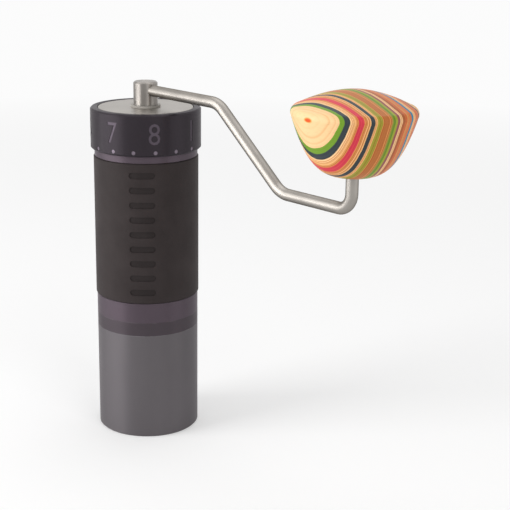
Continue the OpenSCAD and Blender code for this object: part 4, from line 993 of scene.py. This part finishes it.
# A soft light falls from all round, and what is seen of the room is plain white
world = bpy.data.worlds.new("studio_world")
scene.world = world
world.use_nodes = True
tree = world.node_tree
tree.nodes.clear()
soft = add(tree, "ShaderNodeBackground", Strength=0.38, Color=(1, 1, 1, 1))
white = add(tree, "ShaderNodeBackground", Strength=1.0, Color=(1, 1, 1, 1))
sky = add(tree, "ShaderNodeMixShader", {0: seen_rays(tree), 1: soft.outputs[0], 2: white.outputs[0]})
leave = tree.nodes.new("ShaderNodeOutputWorld")
tree.links.new(sky.outputs[0], leave.inputs["Surface"])

grinder_middle = Vector((0.05, 0, 0.12))


def soft_box(name, spot, width, height, power):
    """A soft area lamp that looks at the middle of the grinder."""
    lamp = bpy.data.lights.new(name, "AREA")
    lamp.shape = "RECTANGLE"
    lamp.size = width
    lamp.size_y = height
    lamp.energy = power
    holder = bpy.data.objects.new(name, lamp)
    holder.location = spot
    holder.rotation_euler = (grinder_middle - Vector(spot)).to_track_quat("-Z", "Y").to_euler()
    scene.collection.objects.link(holder)


soft_box("key_box", (-0.5, -1.25, 0.75), width=0.8, height=0.8, power=11)
soft_box("fill_box", (1.3, -0.25, 0.85), width=0.8, height=0.8, power=5)
soft_box("top_box", (-0.2, 0.3, 1.2), width=1.0, height=1.0, power=4)
soft_box("left_card", (-0.5, -1.02, 0.14), width=1.3, height=0.2, power=5.6)
soft_box("right_card", (1.24, 0.65, 0.14), width=0.8, height=0.2, power=1.5)

# The camera is a pinhole; its focal length is in pixels of a frame 510 pixels wide
image_px = 510
focal_px = 1280
azimuth = math.radians(47)
pitch = math.radians(15.9)
roll = math.radians(0.74)
foot_right, foot_down, foot_ahead = -0.0597, 0.0940, 0.7363
right = Vector((math.cos(azimuth), math.sin(azimuth), 0))
away = Vector((-math.sin(azimuth), math.cos(azimuth), 0))
ahead = math.cos(pitch) * away - math.sin(pitch) * Vector((0, 0, 1))
down = -(math.sin(pitch) * away + math.cos(pitch) * Vector((0, 0, 1)))
eye = -(foot_right * right + foot_down * down + foot_ahead * ahead)
rolled_right = math.cos(roll) * right - math.sin(roll) * down
rolled_down = math.sin(roll) * right + math.cos(roll) * down
camera_data = bpy.data.cameras.new("camera")
camera_data.sensor_width = 36
camera_data.lens = focal_px / image_px * camera_data.sensor_width
camera_data.clip_start = 0.01
camera = bpy.data.objects.new("camera", camera_data)
turn = Matrix((rolled_right, -rolled_down, -ahead)).transposed()
camera.matrix_world = Matrix.Translation(eye) @ turn.to_4x4()
scene.collection.objects.link(camera)
scene.camera = camera
scene.view_settings.view_transform = "Standard"
